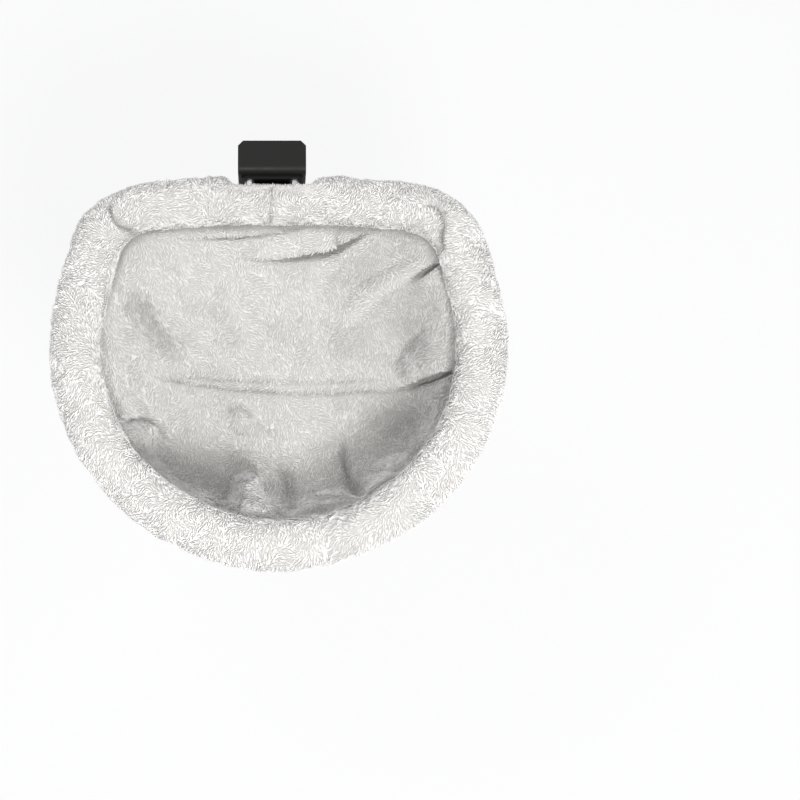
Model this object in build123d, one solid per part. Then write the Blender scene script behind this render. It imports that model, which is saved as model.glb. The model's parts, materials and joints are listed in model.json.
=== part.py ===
from build123d import *
from math import cos, radians, sin, sqrt
import os

# A padded cat hammock on a steel hoop, carried by a clamp that grips the edge of a desk.
# The origin is the middle of the upper jaw pad's lower face, where the desk top meets it.
# +X is to the right, +Y points in over the desk and +Z is up. Sizes are in millimetres.

# Padded rim, seen from above: a straight back, two round back corners and a round front
rim_width = 440
back_corner_radius = 66.5
side_run = 45
side_slant_degrees = 13.8
corner_crease_degrees = 48
cover_radius = 25
cover_wall = 4
soft_gap = 0.3
cover_seam_gap = 0.4
rim_drop = 22

# Bent steel hoop inside the rim
hoop_diameter = 12
hoop_wall = 1.5
hoop_end_gap = 2

# Clamp bracket, folded from one steel strip
bracket_width = 66
bracket_steel = 4
bracket_inner_bend = 3
bracket_tip_corner = 5
bracket_edge_round = 0.6
jaw_reach = 26
desk_reach = 13
arm_drop = 64
spindle_hole_clearance = 0.4

# Rubber pads of the clamp
jaw_pad_width = 60
jaw_pad_depth = 24
jaw_pad_thickness = 2.5
edge_pad_width = 54
edge_pad_height = 50
edge_pad_thickness = 2
pad_corner = 3

# Clamp spindle, with its thread shown as rings
thread_diameter = 10
thread_depth = 0.9
thread_pitch = 1.5
thread_length = 68
running_gap = 0.05
neck_diameter = 8
neck_rise = 3.4
neck_point_cut = 0.6
spindle_tail_diameter = 9
spindle_tail_length = 16

# Weld nut under the clamp's lower arm
weld_nut_flats = 17
weld_nut_height = 8

# Swivel foot on the spindle
jaw_gap = 25
foot_diameter = 24
foot_plate_thickness = 4
foot_hub_diameter = 16
foot_hub_height = 5
foot_pad_thickness = 5
foot_pad_recess_gap = 1.5
foot_edge_round = 1
clip_diameter = 13
clip_thickness = 1
clip_groove_depth = 0.6
clip_mouth = 5

# Knob
knob_diameter = 36
knob_height = 22
knob_lobes = 8
knob_scallop_radius = 7
knob_scallop_depth = 2.4
knob_edge_round = 1.4
knob_neck_diameter = 20
knob_neck_height = 4
knob_cap_diameter = 20
knob_cap_thickness = 2.5
knob_cap_crown = 0.8

# Carrier plate that holds the hoop's receiver tube on the clamp
carrier_width = 60
carrier_height = 34
carrier_steel = 3
carrier_corner = 5
web_width = 34
web_thickness = 6
receiver_diameter = 16
receiver_length = 64
receiver_stand_off = 8.7

# Bolts through carrier and bracket
bolt_diameter = 5
bolt_head_diameter = 10
bolt_head_height = 2.5
bolt_length = 14
bolt_spacing_x = 44
bolt_spacing_z = 18
bolt_hole_clearance = 0.4
hex_key_flats = 3
hex_key_depth = 1.5
washer_diameter = 10
washer_thickness = 1
nut_flats = 8
nut_height = 4
hidden_gap = 0.02

# Set screws that hold the hoop's ends in the receiver
set_screw_spacing = 40
set_screw_length = 8
receiver_nut_height = 4

# Notch in the rim where it goes round the clamp
notch_side_gap = 2
notch_depth_gap = 1
nut_pocket_gap = 1

# Bag: lining, wadding and outer shell, one inside the other
bag_tuck = 17.9
bag_top_drop = 18
bag_height = 107
shell_cloth = 1.5
wadding_loft = 8
lining_pile = 3
seam_forward = 201
cut_overrun = 20

# Bag outline down its height. Each level is a share of the height from the top, of the
# top's half width, and of the top's length from front to back for its back and front edge.
bag_level_shares = [
    (0.00, 1.00, 1.000, 0.000),
    (0.30, 0.97, 0.850, 0.010),
    (0.60, 0.89, 0.700, 0.050),
    (0.86, 0.73, 0.560, 0.130),
    (1.00, 0.50, 0.450, 0.230),
]

# Main folds of the lining. A roll has the place of both its ends and its radius, and a swell
# has the middle of its ball and the ball's radius.
fold_root = 1
lining_rolls = [
    ((-12, -84, -37), (60, -83, -35), 12),
    ((73, -150, -85), (134, -101, -49), 13),
    ((118, -186, -113), (150, -186, -80), 14),
    ((-24, -291, -117), (-17, -324, -76), 15),
    ((92, -277, -123), (116, -275, -111), 19),
    ((-127, -99, -47), (-86, -167, -102), 12),
]
lining_swells = [
    ((20, -240, -217), 97),
    ((-127, -259, -99), 16),
]

# Places worked out from the sizes above
hoop_radius = hoop_diameter / 2
half_hoop_width = rim_width / 2 - cover_radius
slant = radians(side_slant_degrees)
hoop_length = (half_hoop_width + (half_hoop_width - back_corner_radius) * sin(slant)
               + side_run * cos(slant) + back_corner_radius)
spine_face = desk_reach - jaw_reach - edge_pad_thickness
spine_front = spine_face - bracket_steel
carrier_front = spine_front - carrier_steel
hoop_back = carrier_front - receiver_stand_off - receiver_diameter / 2
hoop_front = hoop_back - hoop_length
front_arc_y = hoop_front + half_hoop_width
corner_arc_y = hoop_back - back_corner_radius
corner_arc_x = (half_hoop_width - back_corner_radius) * cos(slant) - side_run * sin(slant)
hoop_z = -rim_drop
bag_top = hoop_z - bag_top_drop
arm_top = -arm_drop
arm_bottom = arm_top - bracket_steel
plate_bottom = jaw_pad_thickness
plate_top = plate_bottom + bracket_steel
foot_pad_top = -jaw_gap
foot_plate_top = foot_pad_top - foot_pad_thickness
foot_plate_bottom = foot_plate_top - foot_plate_thickness
foot_hub_bottom = foot_plate_bottom - foot_hub_height
thread_radius = thread_diameter / 2
neck_radius = neck_diameter / 2
neck_top = foot_plate_top + neck_rise
thread_top = foot_hub_bottom - running_gap
thread_bottom = thread_top - thread_length
knob_top = thread_bottom
knob_bottom = knob_top - knob_height
bolt_places = [(x * bolt_spacing_x / 2, z * bolt_spacing_z / 2) for x in (-1, 1) for z in (-1, 1)]
set_screw_places = [-set_screw_spacing / 2, set_screw_spacing / 2]


def ring(outer_radius, inner_radius, bottom, top):
    """An upright ring between two heights."""
    height = top - bottom
    body = Cylinder(outer_radius, height) - Cylinder(inner_radius, height)
    return Pos(0, 0, bottom + height / 2) * body


def upright(radius, bottom, top):
    """An upright round bar between two heights."""
    height = top - bottom
    return Pos(0, 0, bottom + height / 2) * Cylinder(radius, height)


def block(x, y, z):
    """A block given by its lowest and highest value on each axis."""
    size = Box(x[1] - x[0], y[1] - y[0], z[1] - z[0])
    return Pos((x[0] + x[1]) / 2, (y[0] + y[1]) / 2, (z[0] + z[1]) / 2) * size


def bar_along_y(x, z, radius, back, front):
    """A round bar along Y from its back end to its front end."""
    bar = Cylinder(radius, back - front, rotation=(90, 0, 0))
    return Pos(x, (back + front) / 2, z) * bar


def bar_along_x(radius, length):
    """A round bar along X on the hoop's line at the back."""
    return Pos(0, hoop_back, hoop_z) * Cylinder(radius, length, rotation=(0, 90, 0))


def arc_round(middle, radius, first, last):
    """An arc round a middle point, from one angle to another in degrees."""
    angles = [radians(angle) for angle in (first, (first + last) / 2, last)]
    points = [middle + Vector(cos(angle), sin(angle)) * radius for angle in angles]
    return ThreePointArc(*points)


def right_half_line(inset=0, start_x=0):
    """The rim's plan on the right: back, two halves of the corner, side and front."""
    corner_radius = back_corner_radius - inset
    corner_middle = Vector(corner_arc_x, corner_arc_y)
    front_middle = Vector(0, front_arc_y)
    back_of_corner = arc_round(corner_middle, corner_radius, 90, corner_crease_degrees)
    side_of_corner = arc_round(corner_middle, corner_radius, corner_crease_degrees, side_slant_degrees)
    front = arc_round(front_middle, half_hoop_width - inset, side_slant_degrees, -90)
    back = Line(Vector(start_x, hoop_back - inset), back_of_corner @ 0)
    side = Line(side_of_corner @ 1, front @ 0)
    return [edge.edge() for edge in (back, back_of_corner, side_of_corner, side, front)]


def rim_line(inset=0, end_gap=0):
    """The rim's whole plan as one wire, closed or with a gap at the back middle."""
    right = right_half_line(inset, end_gap / 2)
    left = [edge.mirror(Plane.YZ) for edge in right]
    return Wire(right + left)


def bar_along(line, radius):
    """A round bar along a plan line, at the hoop's height."""
    path = Pos(0, 0, hoop_z) * line
    start = Plane(origin=path @ 0, z_dir=path % 0)
    return sweep(start * Circle(radius), path=path)


def notch_block():
    """The space round the clamp that the padding leaves free."""
    side = bracket_width / 2 + notch_side_gap
    front = carrier_front - notch_depth_gap
    reach = cover_radius + cut_overrun
    return block((-side, side), (front, hoop_back + reach), (hoop_z - reach, hoop_z + reach))


def nut_pockets():
    """Room in the padding for the carrier's nuts and bolt ends."""
    radius = washer_diameter / 2 + nut_pocket_gap
    front = spine_face - bolt_length - nut_pocket_gap
    pockets = [bar_along_y(x, hoop_z + z, radius, spine_face, front) for x, z in bolt_places]
    return Compound(pockets)


def receiver_pocket():
    """Room in the foam for the receiver tube, its web and its set screws."""
    half_length = receiver_length / 2 + nut_pocket_gap
    radius = receiver_diameter / 2 + soft_gap
    tube_room = bar_along_x(radius, half_length * 2)
    screw_bottom = hoop_z - hoop_radius - set_screw_length - nut_pocket_gap
    screw_radius = nut_flats / sqrt(3) + soft_gap
    screw_room = [Pos(x, hoop_back) * upright(screw_radius, screw_bottom, hoop_z) for x in set_screw_places]
    web_side = web_width / 2 + soft_gap
    web_half = web_thickness / 2 + soft_gap
    web_room = block((-web_side, web_side), (hoop_back, carrier_front), (hoop_z - web_half, hoop_z + web_half))
    return Compound([tube_room, web_room] + screw_room)


def make_clamp_bracket():
    """Top plate, spine and lower arm in one folded strip."""
    tip = desk_reach
    outer_bend = bracket_inner_bend + bracket_steel
    outline = FilletPolyline(
        (tip, plate_top),
        (spine_front, plate_top),
        (spine_front, arm_bottom),
        (tip, arm_bottom),
        (tip, arm_top),
        (spine_face, arm_top),
        (spine_face, plate_bottom),
        (tip, plate_bottom),
        radius=[0, outer_bend, outer_bend, 0, 0, bracket_inner_bend, bracket_inner_bend, 0],
        close=True,
    )
    strip = extrude(Plane.YZ * make_face(outline), amount=bracket_width / 2, both=True)
    tips = strip.edges().filter_by(Axis.Z).group_by(Axis.Y)[-1]
    strip = chamfer(tips, bracket_tip_corner)
    strip = fillet(strip.edges(), min(bracket_edge_round, bracket_steel / 4))
    spindle_hole = thread_radius + spindle_hole_clearance / 2
    strip -= upright(spindle_hole, arm_bottom - cut_overrun, arm_top + bracket_steel)
    for x, z in bolt_places:
        strip -= bolt_hole(x, hoop_z + z)
    return strip


def bolt_hole(x, z):
    """A countersunk hole through the spine, open on the desk side."""
    radius = (bolt_diameter + bolt_hole_clearance) / 2
    head_radius = (bolt_head_diameter + bolt_hole_clearance) / 2
    shank = bar_along_y(x, z, radius, spine_face, carrier_front - bracket_steel)
    head = Cone(radius, head_radius, bolt_head_height, rotation=(-90, 0, 0))
    return shank + Pos(x, spine_face - bolt_head_height / 2, z) * head


def make_upper_jaw_pad():
    """The rubber pad that rests on the desk top."""
    pad = block(
        (-jaw_pad_width / 2, jaw_pad_width / 2),
        (-jaw_pad_depth / 2, jaw_pad_depth / 2),
        (0, jaw_pad_thickness),
    )
    return fillet(pad.edges().filter_by(Axis.Z), pad_corner)


def make_edge_pad():
    """The thin rubber pad between the spine and the edge of the desk."""
    middle = (plate_bottom + arm_top) / 2
    pad = block(
        (-edge_pad_width / 2, edge_pad_width / 2),
        (spine_face, spine_face + edge_pad_thickness),
        (middle - edge_pad_height / 2, middle + edge_pad_height / 2),
    )
    return fillet(pad.edges().filter_by(Axis.Y), pad_corner)


def hex_nut(flats, bore_radius, height):
    """A hexagon nut on +Z with its lower face at zero."""
    blank = extrude(RegularPolygon(flats / 2, 6, major_radius=False), amount=height)
    corner_cone = Pos(0, 0, height / 2) * Cylinder(flats / sqrt(3), height)
    corner_cone = chamfer(corner_cone.edges(), (flats / sqrt(3) - flats / 2) * sqrt(3) / 2)
    return (blank & corner_cone) - upright(bore_radius, -height, height * 2)


def make_weld_nut():
    """The nut welded under the lower arm, which the spindle turns in."""
    nut = hex_nut(weld_nut_flats, thread_radius + running_gap, weld_nut_height)
    return Pos(0, 0, arm_bottom - weld_nut_height) * nut


def thread_rings():
    """Radius and height of each crest and root of the thread, from the top down."""
    points = []
    for turn in range(int(thread_length / thread_pitch)):
        height = thread_top - (turn + 1 / 2) * thread_pitch
        points.append((thread_radius - thread_depth, height + thread_pitch / 4))
        points.append((thread_radius, height - thread_pitch / 8))
        points.append((thread_radius, height - thread_pitch / 4))
    return points


def make_clamp_spindle():
    """Neck with its clip groove, threaded length and the tail held in the knob."""
    groove = neck_radius - clip_groove_depth
    clip_bottom = foot_plate_top + running_gap
    tail_radius = spindle_tail_diameter / 2
    tail_bottom = thread_bottom - spindle_tail_length
    profile = [
        (0, neck_top),
        (neck_radius - neck_point_cut, neck_top),
        (neck_radius, neck_top - neck_point_cut),
        (neck_radius, clip_bottom + clip_thickness),
        (groove, clip_bottom + clip_thickness),
        (groove, clip_bottom),
        (neck_radius, clip_bottom),
        (neck_radius, thread_top),
        (thread_radius - thread_depth, thread_top),
    ]
    profile += thread_rings()
    profile += [
        (thread_radius - thread_depth, thread_bottom),
        (tail_radius, thread_bottom),
        (tail_radius, tail_bottom),
        (0, tail_bottom),
    ]
    outline = Polyline(profile, close=True)
    return revolve(Plane.XZ * make_face(outline), axis=Axis.Z)


def make_foot_disc():
    """The steel foot, which turns freely on the spindle's neck."""
    plate = upright(foot_diameter / 2, foot_plate_bottom, foot_plate_top)
    plate = fillet(plate.edges().sort_by(Axis.Z)[0], foot_edge_round)
    hub = upright(foot_hub_diameter / 2, foot_hub_bottom, foot_plate_bottom)
    bore = upright(neck_radius + running_gap, foot_hub_bottom, foot_plate_top)
    return plate + hub - bore


def make_foot_clip():
    """The open clip that keeps the foot on the spindle."""
    bottom = foot_plate_top + running_gap
    inner = neck_radius - clip_groove_depth + hidden_gap
    clip = ring(clip_diameter / 2, inner, bottom, bottom + clip_thickness - hidden_gap)
    mouth = block((-clip_mouth / 2, clip_mouth / 2), (0, clip_diameter), (bottom, bottom + clip_thickness))
    return clip - mouth


def make_foot_pad():
    """The rubber face of the foot, hollow round the neck and its clip."""
    radius = foot_diameter / 2
    pad = upright(radius, foot_plate_top, foot_pad_top)
    pad = fillet(pad.edges().sort_by(Axis.Z)[-1], foot_edge_round)
    recess_top = foot_plate_top + neck_rise + soft_gap
    recess = upright(clip_diameter / 2 + foot_pad_recess_gap, foot_plate_top, recess_top)
    return pad - recess


def make_clamp_knob():
    """The lobed hand knob, moulded over the spindle's tail."""
    radius = knob_diameter / 2
    scallop_circle = radius + knob_scallop_radius - knob_scallop_depth
    outline = Circle(radius) - PolarLocations(scallop_circle, knob_lobes) * Circle(knob_scallop_radius)
    grip_height = knob_height - knob_neck_height
    grip = Pos(0, 0, knob_bottom) * extrude(outline, amount=grip_height)
    rims = grip.edges().group_by(Axis.Z)
    grip = fillet(rims[0] + rims[-1], knob_edge_round)
    neck = upright(knob_neck_diameter / 2, knob_bottom + grip_height, knob_top)
    neck = fillet(neck.edges().sort_by(Axis.Z)[-1], knob_edge_round)
    tail_bore = upright(spindle_tail_diameter / 2 + hidden_gap, knob_top - spindle_tail_length, knob_top)
    cap_recess = upright(knob_cap_diameter / 2 + running_gap, knob_bottom, knob_bottom + knob_cap_thickness)
    return grip + neck - tail_bore - cap_recess


def make_knob_cap():
    """The disc pressed into the knob's lower face."""
    top = knob_bottom + knob_cap_thickness
    disc = upright(knob_cap_diameter / 2, knob_bottom - knob_cap_crown, top)
    return fillet(disc.edges().sort_by(Axis.Z)[0], knob_cap_crown)


def make_carrier_plate():
    """The plate bolted to the spine, with the web that reaches to the receiver."""
    plate = block(
        (-carrier_width / 2, carrier_width / 2),
        (carrier_front, spine_front),
        (hoop_z - carrier_height / 2, hoop_z + carrier_height / 2),
    )
    plate = fillet(plate.edges().filter_by(Axis.Y), carrier_corner)
    web = block(
        (-web_width / 2, web_width / 2),
        (hoop_back, carrier_front),
        (hoop_z - web_thickness / 2, hoop_z + web_thickness / 2),
    )
    part = plate + web - bar_along_x(receiver_diameter / 2 + hidden_gap, receiver_length)
    radius = (bolt_diameter + bolt_hole_clearance) / 2
    for x, z in bolt_places:
        part -= bar_along_y(x, hoop_z + z, radius, spine_front, carrier_front)
    return part.solids().sort_by(SortBy.VOLUME)[-1]


def make_receiver_tube():
    """The cross tube that takes both ends of the hoop."""
    bore = hoop_radius + running_gap
    tube = bar_along_x(receiver_diameter / 2, receiver_length) - bar_along_x(bore, receiver_length)
    screw_radius = bolt_diameter / 2 + hidden_gap
    for x in set_screw_places:
        tube -= Pos(x, hoop_back) * upright(screw_radius, hoop_z - receiver_diameter, hoop_z)
    return tube


def make_carrier_bolt(x, z):
    """A countersunk bolt from the desk side, with a hexagon socket."""
    radius = bolt_diameter / 2
    shank = bar_along_y(x, z, radius, spine_face, spine_face - bolt_length)
    head = Cone(radius, bolt_head_diameter / 2, bolt_head_height, rotation=(-90, 0, 0))
    bolt = shank + Pos(x, spine_face - bolt_head_height / 2, z) * head
    socket = extrude(RegularPolygon(hex_key_flats / 2, 6, major_radius=False), amount=hex_key_depth)
    return bolt - Pos(x, spine_face, z) * Rot(90, 0, 0) * socket


def make_carrier_washer(x, z):
    """A washer on the carrier's face."""
    outer = bar_along_y(x, z, washer_diameter / 2, carrier_front, carrier_front - washer_thickness)
    bore_radius = (bolt_diameter + bolt_hole_clearance) / 2
    return outer - bar_along_y(x, z, bore_radius, carrier_front, carrier_front - washer_thickness)


def make_carrier_nut(x, z):
    """A nut on its washer."""
    nut = hex_nut(nut_flats, bolt_diameter / 2 + hidden_gap, nut_height)
    return Pos(x, carrier_front - washer_thickness, z) * Rot(90, 0, 0) * nut


def make_receiver_nut(x):
    """A nut welded under the receiver tube for a set screw."""
    nut = hex_nut(nut_flats, bolt_diameter / 2 + hidden_gap, receiver_nut_height)
    return Pos(x, hoop_back, hoop_z - receiver_diameter / 2 - receiver_nut_height) * nut


def make_set_screw(x):
    """A set screw whose tip bears on the hoop, with a hexagon socket below."""
    tip = hoop_z - hoop_radius
    screw = upright(bolt_diameter / 2, tip - set_screw_length, tip - hidden_gap)
    socket = extrude(RegularPolygon(hex_key_flats / 2, 6, major_radius=False), amount=hex_key_depth)
    return Pos(x, hoop_back) * (screw - Pos(0, 0, tip - set_screw_length) * socket)


def make_hoop_tube():
    """The bent tube, open at the back where its ends meet in the receiver."""
    line = rim_line(end_gap=hoop_end_gap)
    return bar_along(line, hoop_radius) - bar_along(line, hoop_radius - hoop_wall)


def make_rim_foam():
    """The soft core round the hoop."""
    foam_radius = cover_radius - cover_wall - soft_gap
    foam = bar_along(rim_line(), foam_radius) - bar_along(rim_line(), hoop_radius + soft_gap)
    foam = foam - notch_block() - nut_pockets() - receiver_pocket()
    return foam.solids().sort_by(SortBy.VOLUME)[-1]


def cover_panel(edges):
    """One sewn length of the plush sleeve, clear of the clamp."""
    line = Wire(edges)
    sleeve = bar_along(line, cover_radius) - bar_along(line, cover_radius - cover_wall)
    return sleeve - notch_block() - nut_pockets()


def make_cover_back():
    """The sleeve's right back length, from the seam behind the clamp to the corner crease."""
    edges = right_half_line(start_x=cover_seam_gap / 2)
    return cover_panel(edges[:2])


def make_cover_front():
    """The sleeve's right front length, from the corner crease to the front middle."""
    edges = right_half_line()
    return cover_panel(edges[2:])


def bag_section(level, inside):
    """The bag's outline at one level, a distance inside its outer skin."""
    down_share, width_share, back_share, front_share = level
    tucked = bag_tuck + inside
    top_half_width = half_hoop_width - bag_tuck
    top_back = hoop_back - bag_tuck
    top_front = hoop_front + bag_tuck
    top_length = top_back - top_front
    half_width = top_half_width * width_share - inside
    back = top_front + top_length * back_share - inside
    front = top_front + top_length * front_share + inside
    scale_x = half_width / (half_hoop_width - tucked)
    scale_y = (back - front) / (top_length - inside * 2)
    outline = scale(make_face(rim_line(tucked)), by=(scale_x, scale_y, 1))
    height = bag_top - bag_height * down_share + inside
    return Pos(0, front - (hoop_front + tucked) * scale_y, height) * outline


def bag_room(inside):
    """The bag's full space, a distance inside its outer skin, cut level at its top."""
    sections = [bag_section(level, inside) for level in bag_level_shares]
    top = bag_section(bag_level_shares[0], inside)
    layers = shell_cloth + wadding_loft + lining_pile + soft_gap * 2
    above = Pos(0, 0, layers + cut_overrun - inside) * top
    room = loft([above] + sections)
    reach = rim_width
    lid = block((-reach, reach), (hoop_front - reach, reach), (bag_top, bag_top + reach))
    return room - lid


def bag_layer(inside, thickness):
    """One closed skin of the bag."""
    return bag_room(inside) - bag_room(inside + thickness)


def fold_roll(start, end, radius):
    """A round-ended roll of cloth."""
    length = Vector(*end) - Vector(*start)
    middle = Vector(*start) + length / 2
    bar = Plane(origin=middle, z_dir=length) * Cylinder(radius, length.length)
    return bar + Pos(*start) * Sphere(radius) + Pos(*end) * Sphere(radius)


def make_lining(inside):
    """The lining's skin with its main folds, which stand up inside the bag."""
    lining = bag_layer(inside, lining_pile)
    room = bag_room(inside + fold_root)
    for start, end, radius in lining_rolls:
        lining = lining + (fold_roll(start, end, radius) & room)
    for middle, radius in lining_swells:
        lining = lining + (Pos(*middle) * Sphere(radius) & room)
    return lining


def seam_half(skin, keep):
    """The part of a skin behind or in front of the cross seam."""
    seam = Plane(origin=(0, -seam_forward, 0), z_dir=(0, 1, 0))
    return split(skin, bisect_by=seam, keep=keep)


def side_half(skin, keep):
    """The part of a skin on one side of the middle."""
    return split(skin, bisect_by=Plane.YZ, keep=keep)


def write_node(name, solids):
    """Writes one node, made of one or more solids."""
    pieces = [solid for shape in solids for solid in shape.solids()]
    shape = pieces[0] if len(pieces) == 1 else Compound(pieces)
    export_step(shape, os.path.join("parts", name + ".step"))


def main():
    os.makedirs("parts", exist_ok=True)
    wadding_start = shell_cloth + soft_gap
    lining_start = wadding_start + wadding_loft + soft_gap
    shell = bag_layer(0, shell_cloth)
    shell_front = seam_half(shell, Keep.BOTTOM)
    lining = make_lining(lining_start)
    at_bolts = [(x, hoop_z + z) for x, z in bolt_places]

    write_node("clamp_bracket", [make_clamp_bracket()])
    write_node("upper_jaw_pad", [make_upper_jaw_pad()])
    write_node("edge_pad", [make_edge_pad()])
    write_node("weld_nut", [make_weld_nut()])
    write_node("clamp_spindle", [make_clamp_spindle()])
    write_node("foot_disc", [make_foot_disc()])
    write_node("foot_clip", [make_foot_clip()])
    write_node("foot_pad", [make_foot_pad()])
    write_node("clamp_knob", [make_clamp_knob()])
    write_node("knob_cap", [make_knob_cap()])
    write_node("carrier_plate", [make_carrier_plate()])
    write_node("receiver_tube", [make_receiver_tube()])
    write_node("carrier_bolts", [make_carrier_bolt(x, z) for x, z in at_bolts])
    write_node("carrier_washers", [make_carrier_washer(x, z) for x, z in at_bolts])
    write_node("carrier_nuts", [make_carrier_nut(x, z) for x, z in at_bolts])
    write_node("receiver_nuts", [make_receiver_nut(x) for x in set_screw_places])
    write_node("set_screws", [make_set_screw(x) for x in set_screw_places])
    write_node("hoop_tube", [make_hoop_tube()])
    write_node("rim_foam", [make_rim_foam()])
    write_node("cover_back_right", [make_cover_back()])
    write_node("cover_back_left", [mirror(make_cover_back(), about=Plane.YZ)])
    write_node("cover_front_right", [make_cover_front()])
    write_node("cover_front_left", [mirror(make_cover_front(), about=Plane.YZ)])
    write_node("bag_wadding", [bag_layer(wadding_start, wadding_loft)])
    write_node("lining_back_panel", [seam_half(lining, Keep.TOP)])
    write_node("lining_front_panel", [seam_half(lining, Keep.BOTTOM)])
    write_node("shell_back_panel", [seam_half(shell, Keep.TOP)])
    write_node("shell_front_right", [side_half(shell_front, Keep.TOP)])
    write_node("shell_front_left", [side_half(shell_front, Keep.BOTTOM)])


main()
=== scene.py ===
"""The looks of a padded cat hammock that clamps to the edge of a desk.

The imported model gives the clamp, the hoop and the place of every soft part. This file dresses
them: a plush sleeve on the rim, a fleece lining with its folds, wadding, an outer cloth shell,
and the finishes of the metal, rubber and plastic pieces.
"""

import json
import math

import bmesh
import bpy
import numpy as np
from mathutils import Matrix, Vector, kdtree, noise


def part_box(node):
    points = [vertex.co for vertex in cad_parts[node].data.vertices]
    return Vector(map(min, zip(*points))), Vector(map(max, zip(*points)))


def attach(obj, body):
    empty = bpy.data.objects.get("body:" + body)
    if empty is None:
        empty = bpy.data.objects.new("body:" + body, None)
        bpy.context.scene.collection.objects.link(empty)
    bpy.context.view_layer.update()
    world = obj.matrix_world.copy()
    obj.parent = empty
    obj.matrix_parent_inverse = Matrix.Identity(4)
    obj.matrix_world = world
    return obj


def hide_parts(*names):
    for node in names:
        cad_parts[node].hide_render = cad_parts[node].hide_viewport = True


bl_info = {
    "name": "Desk Cat Hammock",
    "version": (1, 0, 0),
    "blender": (4, 5, 0),
    "location": "View3D > Sidebar > Hammock",
    "description": "Builds the cloth, padding, pile and finishes of a clamp-on cat hammock",
    "category": "Object",
}

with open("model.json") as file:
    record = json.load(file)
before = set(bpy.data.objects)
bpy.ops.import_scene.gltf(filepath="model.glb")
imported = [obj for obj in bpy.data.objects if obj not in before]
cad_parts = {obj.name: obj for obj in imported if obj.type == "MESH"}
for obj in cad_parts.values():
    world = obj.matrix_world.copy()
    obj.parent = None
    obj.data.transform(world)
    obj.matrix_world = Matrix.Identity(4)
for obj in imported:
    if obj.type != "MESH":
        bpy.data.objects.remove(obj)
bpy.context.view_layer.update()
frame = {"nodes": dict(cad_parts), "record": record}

SLEEVE_NODES = ("cover_back_right", "cover_back_left", "cover_front_right", "cover_front_left")
SHELL_NODES = ("shell_back_panel", "shell_front_right", "shell_front_left")
LINING_NODES = ("lining_back_panel", "lining_front_panel")
SOFT_BODY = "clamp"

# Photograph's frame, in its own pixels
PHOTO_SIZE_PX = 800
RIM_MIDDLE_PX = (272.0, 368.0)

# Creases of the sleeve: each one's kind, its place in the photograph's pixels, and its sizes, which are
# metres or, for a taper, a start, or, for flat, how far the pile is pressed flat and darkened with painted
# shade, shares
SLEEVE_CREASES = {
    "left corner crease": (
        "band", [(138, 235), (121, 227), (111, 215), (108, 200)],
        dict(width=0.0026, height=-0.0050),
    ),
    "right corner crease": (
        "band", [(442, 254), (440, 238), (443, 224), (440, 211), (434, 201)],
        dict(width=0.0026, height=-0.0048),
    ),
    "right corner tuck": ("band", [(426, 203), (437, 208), (449, 214)], dict(width=0.0022, height=-0.003)),
    "sleeve seam": (
        "band", [(271, 184), (272, 200), (271.5, 216), (270, 226)],
        dict(width=0.0016, height=-0.0036, taper=0.05),
    ),
}

# Hem, hanging lobe and slanting folds of the back panel, in the same form, with painted shade in the valley
# and under the lips
BACK_FOLDS = {
    "back hem edge": (
        "lobe", [(160, 242), (182, 239), (215, 238.5), (245, 237), (295, 230), (345, 220)],
        dict(reach=0.016, height=0.006, overhang=0.003, left_taper=0.5, right_taper=0.2, crevice=0.009),
    ),
    "back lobe edge": (
        "lobe", [(232, 259), (275, 261), (310, 257.5), (332, 254), (347, 246), (372, 231), (395, 225)],
        dict(reach=0.032, height=0.013, overhang=0.008, left_taper=0.55, right_taper=0.3, crevice=0.012),
    ),
    "back lobe crease": ("band", [(341, 224), (337, 235), (345, 244)], dict(width=0.0026, height=-0.0028)),
    "back valley": (
        "band", [(320, 318), (340, 292), (357, 275), (382, 260), (420, 243), (438, 238)],
        dict(width=0.012, height=-0.018, taper=0.35, flat=0.25),
    ),
    "back ridge": (
        "band", [(335, 358), (345, 327), (368, 300), (395, 277), (425, 262), (442, 255)],
        dict(width=0.014, height=0.013, taper=0.35),
    ),
}

# Tucks where the back panel turns into the two sides, with painted shade in their hollows and under their
# lips
SIDE_FOLDS = {
    "right tuck edge": (
        "lobe", [(398, 290), (405, 286), (420, 276), (444, 260)],
        dict(reach=0.024, height=0.009, overhang=0.005, left_taper=0.5, right_taper=0.2, crevice=0.007),
    ),
    "right shade": (
        "band", [(390, 352), (411, 327), (420, 305), (442, 277)],
        dict(width=0.018, height=-0.012, taper=0.3, flat=0.3),
    ),
    "right lobe": ("mound", (428, 360), dict(across=0.026, down=0.024, height=0.011, flat=0.20)),
    "right lobe edge": (
        "lobe", [(384, 388), (404, 386), (427, 382), (446, 377), (458, 370)],
        dict(reach=0.040, height=0.007, overhang=0.005, left_taper=0.6, right_taper=0.1, crevice=0.006),
    ),
    "left wall edge": (
        "band", [(126, 283), (134, 300), (147, 318), (164, 343), (184, 371)],
        dict(width=0.010, height=-0.014, taper=0.3, flat=0.35),
    ),
    "left wall ridge": (
        "band", [(138, 262), (150, 290), (166, 318), (190, 350)],
        dict(width=0.013, height=0.013, taper=0.35),
    ),
    "left dimple": ("mound", (141, 320), dict(across=0.008, down=0.012, height=-0.008, flat=0.3)),
    "left low lobe": ("mound", (142, 436), dict(across=0.018, down=0.014, height=0.012)),
    "left low crease": (
        "band", [(118, 422), (140, 422), (155, 431), (172, 441)],
        dict(width=0.0036, height=-0.0026),
    ),
}
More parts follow.
